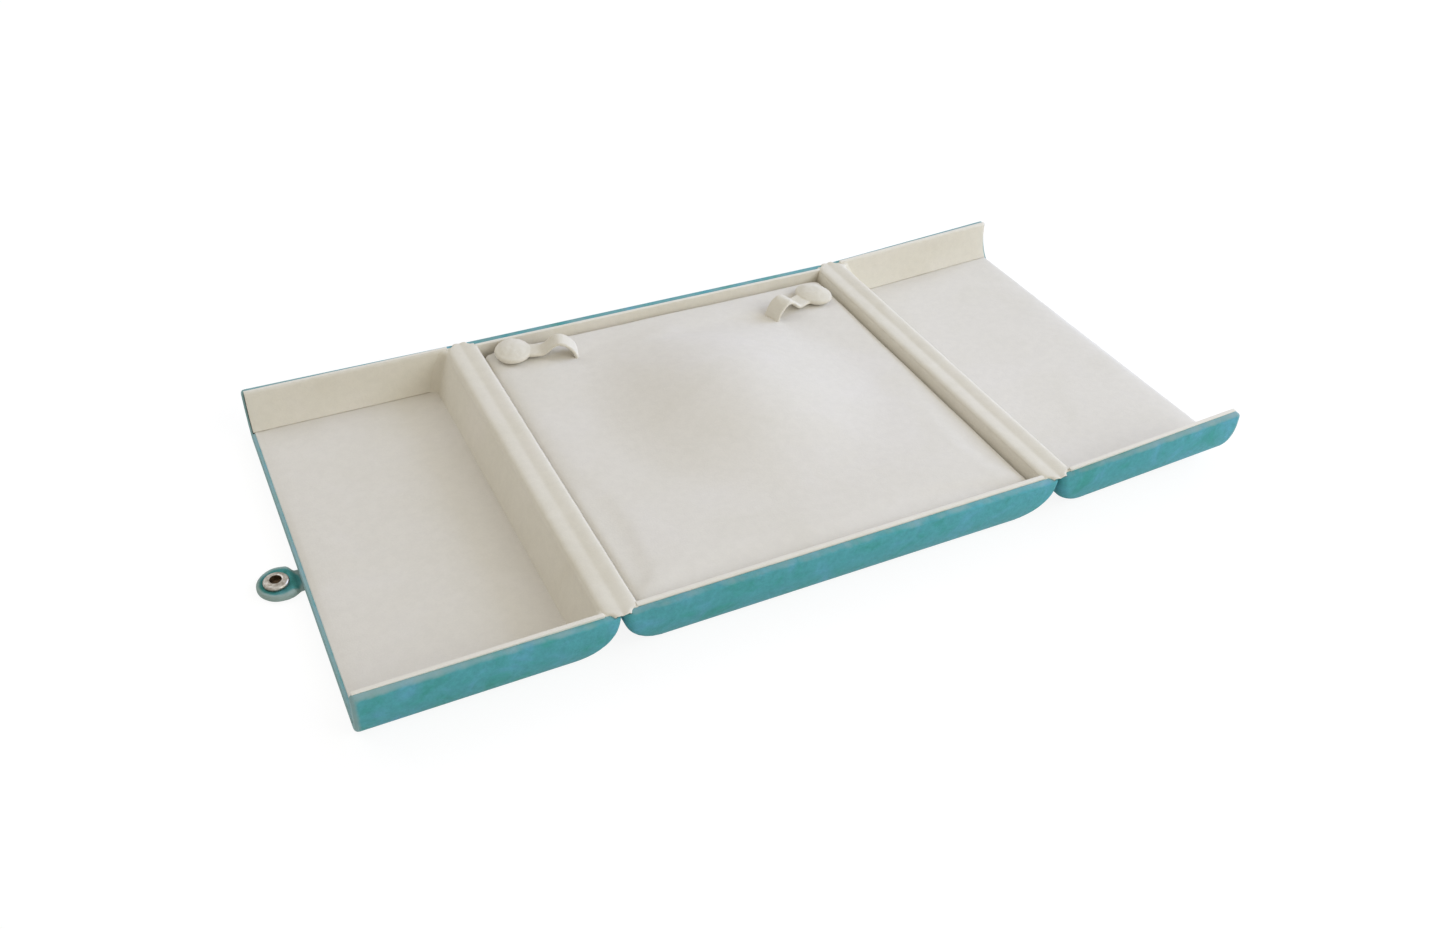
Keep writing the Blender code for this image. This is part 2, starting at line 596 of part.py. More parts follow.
def make_closing_stud(hinge, cover, shell, floor_pad, materials):
    """The stud on the right lid's outer face, riveted to a plate under the floor pad."""
    lid_place = Vector((0, 0, -AXIS_LIFT))
    middle = (STUD_REACH, -TAB_SHIFT, -SHELL_HEIGHT - FIT)
    plate_low = -LINING_DEPTH
    barrel = plate_low - FIT - middle[2]
    metal = materials["snap_metal"]
    add_piece("snap_stud", stud_form(middle, LID_STUD_POST, barrel, -1), metal, hinge, lid_place)
    above = (STUD_REACH, -TAB_SHIFT, 0)
    add_piece(
        "snap_stud_backplate", disc(BACKPLATE_RADIUS, plate_low, plate_low + BACKPLATE, above),
        metal, hinge, lid_place)
    for layer in (cover, shell):
        shape_with(layer, disc(
            SNAP_HOLE_RADIUS, -SHELL_HEIGHT - OVERRUN, plate_low + OVERRUN / 2, above))
    shape_with(floor_pad, disc(
        BACKPLATE_RADIUS + FIT, plate_low - OVERRUN, plate_low + BACKPLATE + FIT, above))


def make_snap_tab(pivot, materials):
    """The closing tab: a neck that rises from the lid's edge to a round head with its socket."""
    cap_top = TAB_CAP - TAB_ROOT / 2
    head_height = cap_top + FIT + TAB_THICKNESS / 2
    reaches = [-TAB_ROOT / 2 * math.cos(QUARTER / 2), 0]
    head_start = TAB_HEAD_REACH - math.sqrt(TAB_HEAD_RADIUS ** 2 - (TAB_NECK_WIDTH / 2) ** 2)
    for step in range(1, TAB_STEPS):
        angle = math.pi * (1 - step / TAB_STEPS)
        reach = TAB_HEAD_REACH + TAB_HEAD_RADIUS * math.cos(angle)
        if reach > max(head_start, 0):
            reaches.append(reach)
    rings = []
    for reach in reaches:
        if reach <= head_start:
            half = TAB_NECK_WIDTH / 2
        else:
            half = math.sqrt(TAB_HEAD_RADIUS ** 2 - (reach - TAB_HEAD_REACH) ** 2)
        rise = min(max(reach / TAB_RAMP, 0), 1)
        height = head_height * rise * rise * (3 - 2 * rise)
        thick = TAB_ROOT / 2 if reach < 0 else TAB_ROOT + (TAB_THICKNESS - TAB_ROOT) * rise
        low = height - thick / 2
        high = height + thick / 2
        rings.append([(reach, -half, low), (reach, half, low), (reach, half, high), (reach, -half, high)])
    tab = add_piece("snap_tab", loft(rings), materials["teal_velvet"], pivot)
    middle = (TAB_SNAP_REACH, 0, 0)
    shape_with(tab, disc(SNAP_HOLE_RADIUS, cap_top - FIT, cap_top + OVERRUN, middle))
    seat = head_height + TAB_THICKNESS / 2 + FIT
    add_piece(
        "snap_socket", socket_form((TAB_SNAP_REACH, 0, seat), 1, seat - cap_top - FIT),
        materials["snap_metal"], pivot)
    cap_low = -TAB_ROOT / 2
    add_piece(
        "snap_cap", turned([
            (0, cap_low), (TAB_CAP_RADIUS - TAB_CAP_ROUND, cap_low),
            (TAB_CAP_RADIUS, cap_low + TAB_CAP_ROUND), (TAB_CAP_RADIUS, cap_top - TAB_CAP_ROUND),
            (TAB_CAP_RADIUS - TAB_CAP_ROUND, cap_top), (0, cap_top)], middle),
        materials["teal_velvet"], pivot)


# Holding straps. In a strap's own frame the pivot is the origin and its padded end lies at +x.
def strap_band():
    """The band's side view: up out of the slit, over the chain, then flat to the padded end."""
    line = []
    for step in range(STRAP_ARCH_STEPS + 1):
        share = step / STRAP_ARCH_STEPS
        lift = STRAP_FLAT_HEIGHT * share + STRAP_ARCH_HEIGHT * math.sin(math.pi * share)
        line.append(Vector((STRAP_ARCH_SPAN * share, lift)))
    line.append(Vector((STRAP_REACH - STRAP_END_HALF_LENGTH + STRAP_OVERLAP, STRAP_FLAT_HEIGHT)))
    upper = []
    lower = []
    for place, point in enumerate(line):
        ahead = line[min(place + 1, len(line) - 1)]
        behind = line[max(place - 1, 0)]
        along = (ahead - behind).normalized()
        across = Vector((-along.y, along.x)) * STRAP_THICKNESS / 2
        upper.append(point + across)
        lower.append(point - across)
    outline = upper + lower[::-1]
    corners = [(point.x, 0, point.y) for point in outline]
    return prism(corners, (0, -STRAP_WIDTH / 2, 0), (0, STRAP_WIDTH, 0))


def strap_end():
    """The padded oval end."""
    rings = []
    for width_share, height_share in STRAP_END_PROFILE_SHARES:
        ring = []
        for step in range(STRAP_END_STEPS):
            angle = math.tau * step / STRAP_END_STEPS
            ring.append((
                STRAP_REACH + STRAP_END_HALF_LENGTH * width_share * math.cos(angle),
                STRAP_END_HALF_WIDTH * width_share * math.sin(angle),
                STRAP_END_LOW + STRAP_END_HEIGHT * height_share))
        rings.append(ring)
    return loft(rings)


def make_strap(name, pivot, materials):
    strap = add_piece(name, strap_end(), materials["cream_velvet"], pivot)
    shape_with(strap, strap_band(), "UNION")
    pocket_top = STRAP_SOCKET_LOW + SOCKET_HEIGHT + FIT
    middle = (STRAP_REACH, 0, 0)
    shape_with(strap, disc(SOCKET_RADIUS + FIT, STRAP_END_LOW - OVERRUN, pocket_top, middle))
    seat = STRAP_SOCKET_LOW + SOCKET_HEIGHT
    metal = materials["snap_metal"]
    add_piece(f"{name}_socket", socket_form((STRAP_REACH, 0, seat), -1), metal, pivot)
    stud = stud_form((STRAP_REACH, 0, FIT - STRAP_FLOAT), STRAP_STUD_POST, STRAP_STUD_BARREL)
    bmesh.ops.transform(stud, matrix=pivot.matrix_basis, verts=stud.verts)
    add_piece(f"{name}_stud", stud, metal)


def strap_pivot(name, end, turn):
    """The empty on a strap's pivot, in its slit, with +x towards the padded end."""
    x = end[0] - STRAP_REACH * math.cos(turn)
    y = end[1] - STRAP_REACH * math.sin(turn)
    height = PAD_TOP + STRAP_FLOAT
    empty = add_empty(name, (x, y, height))
    empty.matrix_basis = Matrix.Translation((x, y, height)) @ Matrix.Rotation(turn, 4, "Z")
    return empty


def build():
    for old in list(bpy.data.objects):
        bpy.data.objects.remove(old, do_unlink=True)
    materials = make_materials()
    cream = materials["cream_velvet"]

    make_tray("base", "base", None, (0, 0, SHELL_HEIGHT), materials)
    make_base_fittings(materials)

    tilt = resting_tilt()
    left_hinge = add_empty("left_hinge", (-HALF_WIDTH, 0, AXIS_HEIGHT), (0, 0, math.pi))
    right_hinge = add_empty("right_hinge", (HALF_WIDTH, 0, AXIS_HEIGHT), (0, -tilt, 0))
    make_lid("left_lid", left_hinge, materials)
    cover, shell, floor_pad = make_lid("right_lid", right_hinge, materials)
    make_closing_stud(right_hinge, cover, shell, floor_pad, materials)
    make_hinge_cloth("left_hinge_cloth", -1, 0, cream)
    make_hinge_cloth("right_hinge_cloth", 1, tilt, cream)

    tab_place = (LID_LENGTH + MEETING_GAP / 2, TAB_SHIFT, TAB_ROOT / 2 - AXIS_HEIGHT)
    make_snap_tab(add_empty("tab_pivot", tab_place, parent=left_hinge), materials)

    left_pivot = strap_pivot("left_strap_pivot", LEFT_STRAP_END, math.pi - STRAP_ANGLE)
    right_pivot = strap_pivot("right_strap_pivot", RIGHT_STRAP_END, STRAP_ANGLE)
    make_display_pad(cream, (left_pivot, right_pivot))
    make_strap("left_strap", left_pivot, materials)
    make_strap("right_strap", right_pivot, materials)


build()
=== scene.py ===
# %% [markdown]
# # Dressing a necklace presentation box
# The imported model gives every piece its true size, its place and its joints. This lesson keeps all
# of that and models what the eye sees: short-pile velvet over stiff trays, cloth hinges, a soft
# display pad with a mound, holding straps and a snap tab. The first cell loads the frame.

# %% Load the frame
import json
import math

import bmesh
import bpy
from mathutils import Matrix, Vector


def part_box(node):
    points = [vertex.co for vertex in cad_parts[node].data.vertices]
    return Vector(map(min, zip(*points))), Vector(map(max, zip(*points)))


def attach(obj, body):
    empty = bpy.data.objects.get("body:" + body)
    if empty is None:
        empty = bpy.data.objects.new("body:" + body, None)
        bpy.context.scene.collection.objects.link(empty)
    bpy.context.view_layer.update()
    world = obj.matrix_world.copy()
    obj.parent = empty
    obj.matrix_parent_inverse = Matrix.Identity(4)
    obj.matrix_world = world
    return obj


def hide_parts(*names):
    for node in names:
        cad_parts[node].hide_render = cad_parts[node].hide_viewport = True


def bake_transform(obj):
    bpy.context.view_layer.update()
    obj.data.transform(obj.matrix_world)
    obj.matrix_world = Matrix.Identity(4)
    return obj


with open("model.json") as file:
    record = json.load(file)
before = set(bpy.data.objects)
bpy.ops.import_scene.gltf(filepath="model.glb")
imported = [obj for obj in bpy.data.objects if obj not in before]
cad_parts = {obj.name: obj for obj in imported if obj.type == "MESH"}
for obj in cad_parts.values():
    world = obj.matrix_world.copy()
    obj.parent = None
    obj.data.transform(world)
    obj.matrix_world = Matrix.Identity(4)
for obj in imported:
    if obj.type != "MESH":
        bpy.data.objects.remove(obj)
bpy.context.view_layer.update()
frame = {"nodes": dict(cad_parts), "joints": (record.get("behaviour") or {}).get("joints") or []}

# %% [markdown]
# ## Sizes
# What the frame already knows is read from it: where the hinge axes are, how high the rim stands,
# how long a lid is. What it doesn't hold as a number, such as how far the velvet is turned over the
# rim, is written once here, in millimetres turned into metres.

# %% Sizes that all pieces share
MM = 0.001
NEAR = 0.001 * MM             # places nearer to each other than this count as one
joints = {joint["name"]: joint for joint in frame["joints"]}
LEFT_AXIS = Vector(joints["left_lid_hinge"]["pos_m"])
RIGHT_AXIS = Vector(joints["right_lid_hinge"]["pos_m"])
RIGHT_TILT = -math.radians(joints["right_lid_hinge"]["range_deg"][0])
base_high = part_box("base_velvet_cover")[1]
TRAY_HEIGHT = base_high.z
HALF_DEPTH = base_high.y
HALF_WIDTH = RIGHT_AXIS.x
HINGE_GAP = RIGHT_AXIS.x - base_high.x
AXIS_LIFT = LEFT_AXIS.z - TRAY_HEIGHT
LID_LENGTH = LEFT_AXIS.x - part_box("left_lid_velvet_cover")[0].x

VELVET = 0.75 * MM            # thickness of the velvet cover
RIM_WIDTH = 3.2 * MM          # velvet turned over the rim
BACK_RIM_WIDTH = 4.1 * MM     # the base's back wall shows more of it
RIM_ROUND = 1.6 * MM          # round along the rim's outer edge
REBATE = 1.0 * MM             # how far a hinge wall ends below the rim
LINING_OFFSET = 2.95 * MM     # from the outer face to what lies against the shell
CARD_MIDDLE = 3.75 * MM       # from the outer face to the middle of a lining card
CARD = 1.6 * MM
SIDE_WALL = (8.5 * MM, TRAY_HEIGHT - 5.5 * MM)      # how far a wall's curve reaches in, and falls
HINGE_WALL = (15 * MM, TRAY_HEIGHT - 1.5 * MM)
CURVE_POWER = 1.7
print("tray", round(TRAY_HEIGHT / MM, 2), "lid", round(LID_LENGTH / MM, 2), "tilt", round(RIGHT_TILT, 4))

# %% [markdown]
# A tray's wall is upright at the rim and runs into the floor on one smooth curve, a superellipse.
# Every layer of the wall follows the same curve at its own distance from the outer face, so one
# formula gives the cover, the cards and the rolls their shape.

# %% The curve of a wall
def wall_inset(wall, depth, offset=0.0):
    """How far in a layer stands at a depth below the rim, measured from the rim's outer edge."""
    reach, fall = wall
    share = (depth - (TRAY_HEIGHT - fall)) / (fall - offset)
    share = min(max(share, 0), 1)
    return offset + (reach - offset) * (1 - (1 - share ** CURVE_POWER) ** (1 / CURVE_POWER))


def curve_depths(steps, low=TRAY_HEIGHT, wall=HINGE_WALL):
    """Depths that lie closer together where the curve turns fastest."""
    start = TRAY_HEIGHT - wall[1]
    swings = [math.sin(math.pi / 2 * step / steps) ** (2 / CURVE_POWER) for step in range(1, steps + 1)]
    return [start + (low - start) * swing for swing in swings]


print("inset at mid height in mm", round(wall_inset(SIDE_WALL, TRAY_HEIGHT / 2) / MM, 2))

# %% [markdown]
# ## Camera and light
# The camera stands where the photograph was taken from: in front, to the left and above. Its place
# was worked out from the corners of the rims, and the small roll belongs to it.

# %% Camera
IMAGE_WIDTH = 1445
FOCAL_PIXELS = 1291.3
SENSOR_WIDTH = 36
CAMERA_PLACE = Vector((-218.3, -389.8, 340.0)) * MM
CAMERA_TURN = math.radians(-28.26)
CAMERA_RISE = math.radians(38.04)
CAMERA_ROLL = math.radians(2.92)

bpy.ops.object.select_all(action="DESELECT")
bpy.ops.object.camera_add(location=CAMERA_PLACE)
camera = bpy.context.object
camera.name = "camera"
camera.matrix_world = (
    Matrix.Translation(CAMERA_PLACE) @ Matrix.Rotation(CAMERA_TURN, 4, "Z")
    @ Matrix.Rotation(math.pi / 2 - CAMERA_RISE, 4, "X") @ Matrix.Rotation(CAMERA_ROLL, 4, "Z"))
camera.data.sensor_width = SENSOR_WIDTH
camera.data.lens = FOCAL_PIXELS * SENSOR_WIDTH / IMAGE_WIDTH
bpy.context.scene.camera = camera
print("lens in mm", round(camera.data.lens, 2))

# %% [markdown]
# Light and materials are both made of nodes. These helpers add a node and feed it, with plain
# values or with what another node gives, and combine values in the few ways that are needed here.

# %% Helpers for nodes
def feed(tree, node, inputs):
    """Set inputs, or link them where the value comes out of another node."""
    for key, value in inputs.items():
        if isinstance(value, bpy.types.NodeSocket):
            tree.links.new(value, node.inputs[key])
        else:
            node.inputs[key].default_value = value


def add_node(tree, kind, inputs=None, **settings):
    """Add a node. Its inputs are known by name, or by their order where names repeat."""
    node = tree.nodes.new("ShaderNode" + kind)
    for setting, value in settings.items():
        setattr(node, setting, value)
    feed(tree, node, inputs or {})
    return node


def add_noise(tree, vector, scale, detail=2.0, distortion=0.0):
    return add_node(tree, "TexNoise", {
        "Vector": vector, "Scale": scale, "Detail": detail, "Distortion": distortion}).outputs["Fac"]


def add_range(tree, value, low, high, to_low=0.0, to_high=1.0):
    """Stretch a value between two limits, with soft ends."""
    limits = {"Value": value, "From Min": low, "From Max": high, "To Min": to_low, "To Max": to_high}
    return add_node(tree, "MapRange", limits, interpolation_type="SMOOTHSTEP").outputs["Result"]


def add_mix(tree, share, first, second, kind="MIX"):
    """Mix two colours. Sockets that this node has for other kinds of value are switched off."""
    mix = add_node(tree, "Mix", data_type="RGBA", blend_type=kind)
    enabled = [order for order, socket in enumerate(mix.inputs) if socket.enabled]
    feed(tree, mix, dict(zip(enabled, (share, first, second))))
    return next(socket for socket in mix.outputs if socket.enabled)


def add_math(tree, operation, first, second=0.0):
    return add_node(tree, "Math", {0: first, 1: second}, operation=operation).outputs["Value"]


def new_material(name, inputs):
    """A material whose shader has these inputs, and its node tree."""
    material = bpy.data.materials.new(name)
    material.use_nodes = True
    feed(material.node_tree, material.node_tree.nodes["Principled BSDF"], inputs)
    return material, material.node_tree


def color_of(red, green, blue):
    """A colour as picked on a screen, turned into the linear values that a shader takes."""
    values = []
    for part in (red, green, blue):
        part = part / 255
        values.append(part / 12.92 if part <= 0.04045 else ((part + 0.055) / 1.055) ** 2.4)
    return (*values, 1)


print("node helpers ready")

# %% [markdown]
# The light is that of a light tent beside a window: cool panels to the right and a weak one behind
# on the left, in a warm, even surround. Velvet shows its pile in such light without hard edges. The
# floor is white to the camera where nothing shades it, and keeps the object's soft shadow.

# %% Lights, surround and floor
def add_panel(name, place, size, power, color):
    """A rectangular light that faces the middle of the box."""
    bpy.ops.object.light_add(type="AREA", location=place)
    panel = bpy.context.object
    panel.name = name
    panel.data.shape = "RECTANGLE"
    panel.data.size, panel.data.size_y = size
    panel.data.energy = power
    panel.data.color = color
    panel.rotation_euler = Vector(place).to_track_quat("Z", "Y").to_euler()


WHITE = (1, 1, 1, 1)
SURROUND_STRENGTH = 0.495
PAPER_GLOW = 1.06             # what the camera sees of the floor is mostly this even white
PAPER_GLOW_SHARE = 0.84
FLOOR_SIZE = 8
add_panel("right_front_panel", (0.85, -0.95, 0.8), (1.2, 1.0), 9.2, (0.95, 1.0, 1.0))
add_panel("right_panel", (1.3, 0.1, 0.55), (1.0, 0.8), 13.0, (0.54, 0.66, 1.0))
add_panel("left_back_panel", (-0.8, 0.8, 1.0), (1.0, 1.0), 4.5, (0.80, 0.88, 1.0))

world = bpy.data.worlds.new("studio")
bpy.context.scene.world = world
world.use_nodes = True
tree = world.node_tree
surround = tree.nodes["Background"]
feed(tree, surround, {"Color": (1, 0.93, 0.81, 1), "Strength": SURROUND_STRENGTH})
backdrop = add_node(tree, "Background", {"Color": WHITE, "Strength": 1.0})
rays = add_node(tree, "LightPath").outputs
seen = add_math(tree, "MAXIMUM", rays["Is Camera Ray"], rays["Is Glossy Ray"])
choice = add_node(tree, "MixShader", {
    "Fac": seen, 1: surround.outputs["Background"], 2: backdrop.outputs["Background"]})
feed(tree, tree.nodes["World Output"], {"Surface": choice.outputs["Shader"]})

bpy.ops.mesh.primitive_plane_add(size=FLOOR_SIZE, location=(0, 0, 0))
floor = bpy.context.object
floor.name = "studio_floor"
paper, tree = new_material("studio_paper", {
    "Base Color": (0.93, 0.93, 0.93, 1), "Roughness": 0.95, "Specular IOR Level": 0.1})
glow = add_node(tree, "Emission", {"Color": WHITE, "Strength": PAPER_GLOW})
glow_share = add_math(
    tree, "MULTIPLY", add_node(tree, "LightPath").outputs["Is Camera Ray"], PAPER_GLOW_SHARE)
choice = add_node(tree, "MixShader", {
    "Fac": glow_share, 1: tree.nodes["Principled BSDF"].outputs["BSDF"], 2: glow.outputs["Emission"]})
feed(tree, tree.nodes["Material Output"], {"Surface": choice.outputs["Shader"]})
floor.data.materials.append(paper)

bpy.context.scene.view_settings.view_transform = "Standard"

# %% [markdown]
# ## Working by hand, in code
# Modelling by hand means: select one thing, go into edit mode, pick vertices, edges or faces, and
# use a tool on them. These few helpers do the selecting. A face or edge is picked by where it is or
# which way it faces, and never by its number.

# %% Helpers for selecting and editing
def select_only(*pieces):
    bpy.ops.object.select_all(action="DESELECT")
    for piece in pieces:
        piece.select_set(True)
    bpy.context.view_layer.objects.active = pieces[-1]


def open_edit(piece, kind="VERT"):
    """Go into edit mode with nothing picked."""
    select_only(piece)
    bpy.ops.object.mode_set(mode="EDIT")
    bpy.ops.mesh.select_mode(type=kind)
    bpy.ops.mesh.select_all(action="DESELECT")


def close_edit():
    bpy.ops.object.mode_set(mode="OBJECT")


def pick(piece, kind, test):
    """Pick the vertices, edges or faces that pass a test."""
    bpy.ops.mesh.select_mode(type=kind)
    bpy.ops.mesh.select_all(action="DESELECT")
    form = bmesh.from_edit_mesh(piece.data)
    if kind == "VERT":
        found = [vertex for vertex in form.verts if test(vertex.co)]
    elif kind == "EDGE":
        found = [edge for edge in form.edges if test(edge.verts[0].co, edge.verts[1].co)]
    else:
        found = [face for face in form.faces if test(face.calc_center_median(), face.normal)]
    for item in found:
        item.select_set(True)
    form.select_flush_mode()
    bmesh.update_edit_mesh(piece.data)


def pick_all():
    bpy.ops.mesh.select_all(action="SELECT")


def cut(place, direction):
    """Cut a row of edges right through a piece, in a plane."""
    pick_all()
    bpy.ops.mesh.bisect(plane_co=place, plane_no=direction)


def falloff(reach):
    """With a reach, what lies round the picked part is drawn along, less and less."""
    return {"use_proportional_edit": True, "proportional_edit_falloff": "SMOOTH",
            "proportional_size": reach} if reach else {}


def shift(step, reach=0):
    bpy.ops.transform.translate(value=step, **falloff(reach))


def scale(value, center=(0, 0, 0), reach=0):
    bpy.ops.transform.resize(value=value, center_override=center, **falloff(reach))


def extrude(kind, step):
    if kind == "FACE":
        bpy.ops.mesh.extrude_region_move(TRANSFORM_OT_translate={"value": step})
    else:
        bpy.ops.mesh.extrude_edges_move(TRANSFORM_OT_translate={"value": step})


def weld(distance):
    """Merge doubles and turn the faces outwards."""
    pick_all()
    bpy.ops.mesh.remove_doubles(threshold=distance)
    bpy.ops.mesh.normals_make_consistent(inside=False)


def tidy(piece, angle=35):
    """Weld a piece and shade it smooth up to an angle."""
    open_edit(piece)
    weld(2 * NEAR)
    close_edit()
    bpy.ops.object.shade_smooth_by_angle(angle=math.radians(angle))


def apply_modifier(piece, kind, **settings):
    """Add a modifier with these settings and apply it."""
    select_only(piece)
    modifier = piece.modifiers.new(kind.lower(), kind)
    for setting, value in settings.items():
        setattr(modifier, setting, value)
    bpy.ops.object.modifier_apply(modifier=modifier.name)


def round_edges(piece, width, segments, angle=60):
    """Bevel every edge that is sharper than an angle."""
    apply_modifier(piece, "BEVEL", width=width, segments=segments, limit_method="ANGLE",
                   angle_limit=math.radians(angle))


def remesh(piece, voxel, softening):
    """Give a piece an even mesh, as one body, and soften its edges a few times over."""
    apply_modifier(piece, "REMESH", mode="VOXEL", voxel_size=voxel, adaptivity=0)
    open_edit(piece)
    pick_all()
    bpy.ops.mesh.vertices_smooth(factor=0.5, repeat=softening)
    close_edit()


WAVES = {                     # height and size of the unevenness of each kind of piece
    "lid_card": (0.14 * MM, 11 * MM), "base_card": (0.18 * MM, 9 * MM), "roll": (0.3 * MM, 14 * MM),
    "hinge_cloth": (0.22 * MM, 8 * MM), "lid_floor": (0.2 * MM, 22 * MM), "pad": (0.25 * MM, 26 * MM),
    "strap": (0.5 * MM, 4.5 * MM), "tab": (0.3 * MM, 4 * MM)}


def wavy(piece, kind):
    """Shift the surface by a soft noise, as cloth pulled over a card lies."""
    strength, size = WAVES[kind]
    clouds = bpy.data.textures.new(f"{piece.name}_unevenness", "CLOUDS")
    clouds.noise_scale = size
    apply_modifier(piece, "DISPLACE", texture=clouds, strength=strength, mid_level=0.5,
                   texture_coords="LOCAL")


print("editing helpers ready")

# %% [markdown]
# Padding shows in how the cloth swells between the places where it is held. That is simulated: the
# piece becomes cloth with a little pressure inside, without gravity, for twenty frames. How far a
# point may move is softly limited, so that the piece stays as large as its frame says.

# %% Helper for padded cloth
SWELL_PRESSURE = 4
SWELL_FRAMES = 20


def swell(piece, is_held, limit):
    """Blow a piece up a little between its held places."""
    rest = [vertex.co.copy() for vertex in piece.data.vertices]
    held = piece.vertex_groups.new(name="held")
    held.add([index for index, place in enumerate(rest) if is_held(place)], 1, "REPLACE")
    select_only(piece)
    cloth = piece.modifiers.new("padding", "CLOTH")
    cloth.settings.vertex_group_mass = held.name
    cloth.settings.use_pressure = True
    cloth.settings.uniform_pressure_force = SWELL_PRESSURE
    cloth.settings.effector_weights.gravity = 0
    cloth.collision_settings.use_collision = False
    for number in range(1, SWELL_FRAMES + 1):
        bpy.context.scene.frame_set(number)
    bpy.ops.object.modifier_apply(modifier=cloth.name)
    bpy.context.scene.frame_set(1)
    piece.vertex_groups.clear()
    furthest = 0
    for vertex, start in zip(piece.data.vertices, rest):
        move = vertex.co - start
        if move.length > NEAR:
            furthest = max(furthest, move.length)
            vertex.co = start + move.normalized() * limit * (1 - math.exp(-move.length / limit))
    print(piece.name, "would swell by", round(furthest / MM, 2), "mm, limit", round(limit / MM, 2))


print("padding swells for", SWELL_FRAMES, "frames, and", "so here too")

# %% [markdown]
# More helpers make forms. One lofts a body through level sections: each section is a plane with its
# corners bevelled round, and neighbouring loops are bridged. Another draws a profile by extruding a
# single vertex from point to point, and two more sweep such a profile along a line or spin it.

# %% Helpers for making forms
SECTION_CORNER_STEPS = 6


def name_piece(name):
    """Name the piece that was just added, and keep its place and size in its mesh."""
    piece = bpy.context.object
    piece.name = name
    piece.data.name = name
    bpy.ops.object.transform_apply(location=True, rotation=True, scale=True)
    return piece


def add_box(name, low, high):
    bpy.ops.mesh.primitive_cube_add(size=1, location=[(a + b) / 2 for a, b in zip(low, high)])
    bpy.context.object.scale = [b - a for a, b in zip(low, high)]
    return name_piece(name)


def add_section(x_low, x_high, y_half, z, near_corner, far_corner=0.0):
    """A level rectangle. Corners at its low-x end and at its high-x end have their own radius."""
    bpy.ops.mesh.primitive_plane_add(size=1, location=((x_low + x_high) / 2, 0, z))
    bpy.context.object.scale = (x_high - x_low, 2 * y_half, 1)
    section = name_piece("section")
    open_edit(section)
    for radius, end in ((near_corner, x_low), (far_corner, x_high)):
        if radius:
            pick(section, "VERT", lambda place: abs(place.x - end) < NEAR)
            bpy.ops.mesh.bevel(offset=radius, segments=SECTION_CORNER_STEPS, affect="VERTICES")
    close_edit()
    return section


def loft(name, sections):
    """Bridge level sections into one closed body, from the first to the last."""
    select_only(*[add_section(**section) for section in sections])
    bpy.ops.object.join()
    piece = name_piece(name)
    open_edit(piece, "FACE")
    pick_all()
    bpy.ops.mesh.delete(type="ONLY_FACE")
    levels = [section["z"] for section in sections]
    for here, there in zip(levels, levels[1:]):
        pick(piece, "EDGE", lambda a, b: abs(a.z - b.z) < NEAR
             and min(abs(a.z - here), abs(a.z - there)) < NEAR)
        bpy.ops.mesh.bridge_edge_loops()
    for height in (levels[0], levels[-1]):
        pick(piece, "EDGE", lambda a, b: abs(a.z - height) < NEAR and abs(b.z - height) < NEAR)
        bpy.ops.mesh.edge_face_add()
    pick_all()
    bpy.ops.mesh.normals_make_consistent(inside=False)
    close_edit()
    return piece


def draw_profile(name, points, closed=False):
    """Extrude one vertex from point to point. A closed profile is filled with a face."""
    bpy.ops.mesh.primitive_plane_add(size=MM, location=points[0])
    piece = name_piece(name)
    open_edit(piece)
    pick_all()
    bpy.ops.mesh.merge(type="CENTER")
    for here, there in zip(points, points[1:]):
        step = Vector(there) - Vector(here)
        bpy.ops.mesh.extrude_vertices_move(TRANSFORM_OT_translate={"value": step})
    if closed:
        pick_all()
        bpy.ops.mesh.edge_face_add()
    close_edit()
    return piece


def mirrored_stops(ends, slices):
    """Stops for a sweep: the given ones at one end, even slices between, the same at the other."""
    inner = -ends[-1]
    return [*ends, *(-inner + 2 * inner * step / slices for step in range(1, slices)),
            *(-stop for stop in ends[::-1])]


def sweep(piece, kind, axis, stops):
    """Extrude a profile from stop to stop along x (0) or y (1). Faces left inside are taken out."""
    open_edit(piece, kind)
    for here, there in zip(stops, stops[1:]):
        step = [0, 0, 0]
        step[axis] = there - here
        if kind == "FACE":
            pick(piece, kind, lambda middle, normal: abs(middle[axis] - here) < NEAR
                 and abs(normal[axis]) > 0.9)
        else:
            pick(piece, kind, lambda a, b: max(abs(a[axis] - here), abs(b[axis] - here)) < NEAR)
        extrude(kind, step)
    if kind == "FACE":
        pick(piece, kind, lambda middle, normal: abs(normal[axis]) > 0.9
             and stops[0] + NEAR < middle[axis] < stops[-1] - NEAR)
        bpy.ops.mesh.delete(type="ONLY_FACE")
    close_edit()


def spin_profile(name, points, steps):
    """Turn a profile of reach and height round the upright axis, as on a lathe."""
    piece = draw_profile(name, [(reach, 0, height) for reach, height in points])
    open_edit(piece)
    pick_all()
    bpy.ops.mesh.spin(steps=steps, angle=math.tau, center=(0, 0, 0), axis=(0, 0, 1))
    weld(20 * NEAR)
    close_edit()
    return piece


def place_piece(piece, matrix):
    """Put a piece that was modelled in its own frame into the box, with its place in its mesh."""
    piece.data.transform(matrix)
    piece.matrix_world = Matrix.Identity(4)


def copy_piece(piece, name):
    """A second piece with its own mesh."""
    twin = piece.copy()
    twin.data = piece.data.copy()
    twin.name = name
    twin.data.name = name
    bpy.context.scene.collection.objects.link(twin)
    return twin


print("form helpers ready")
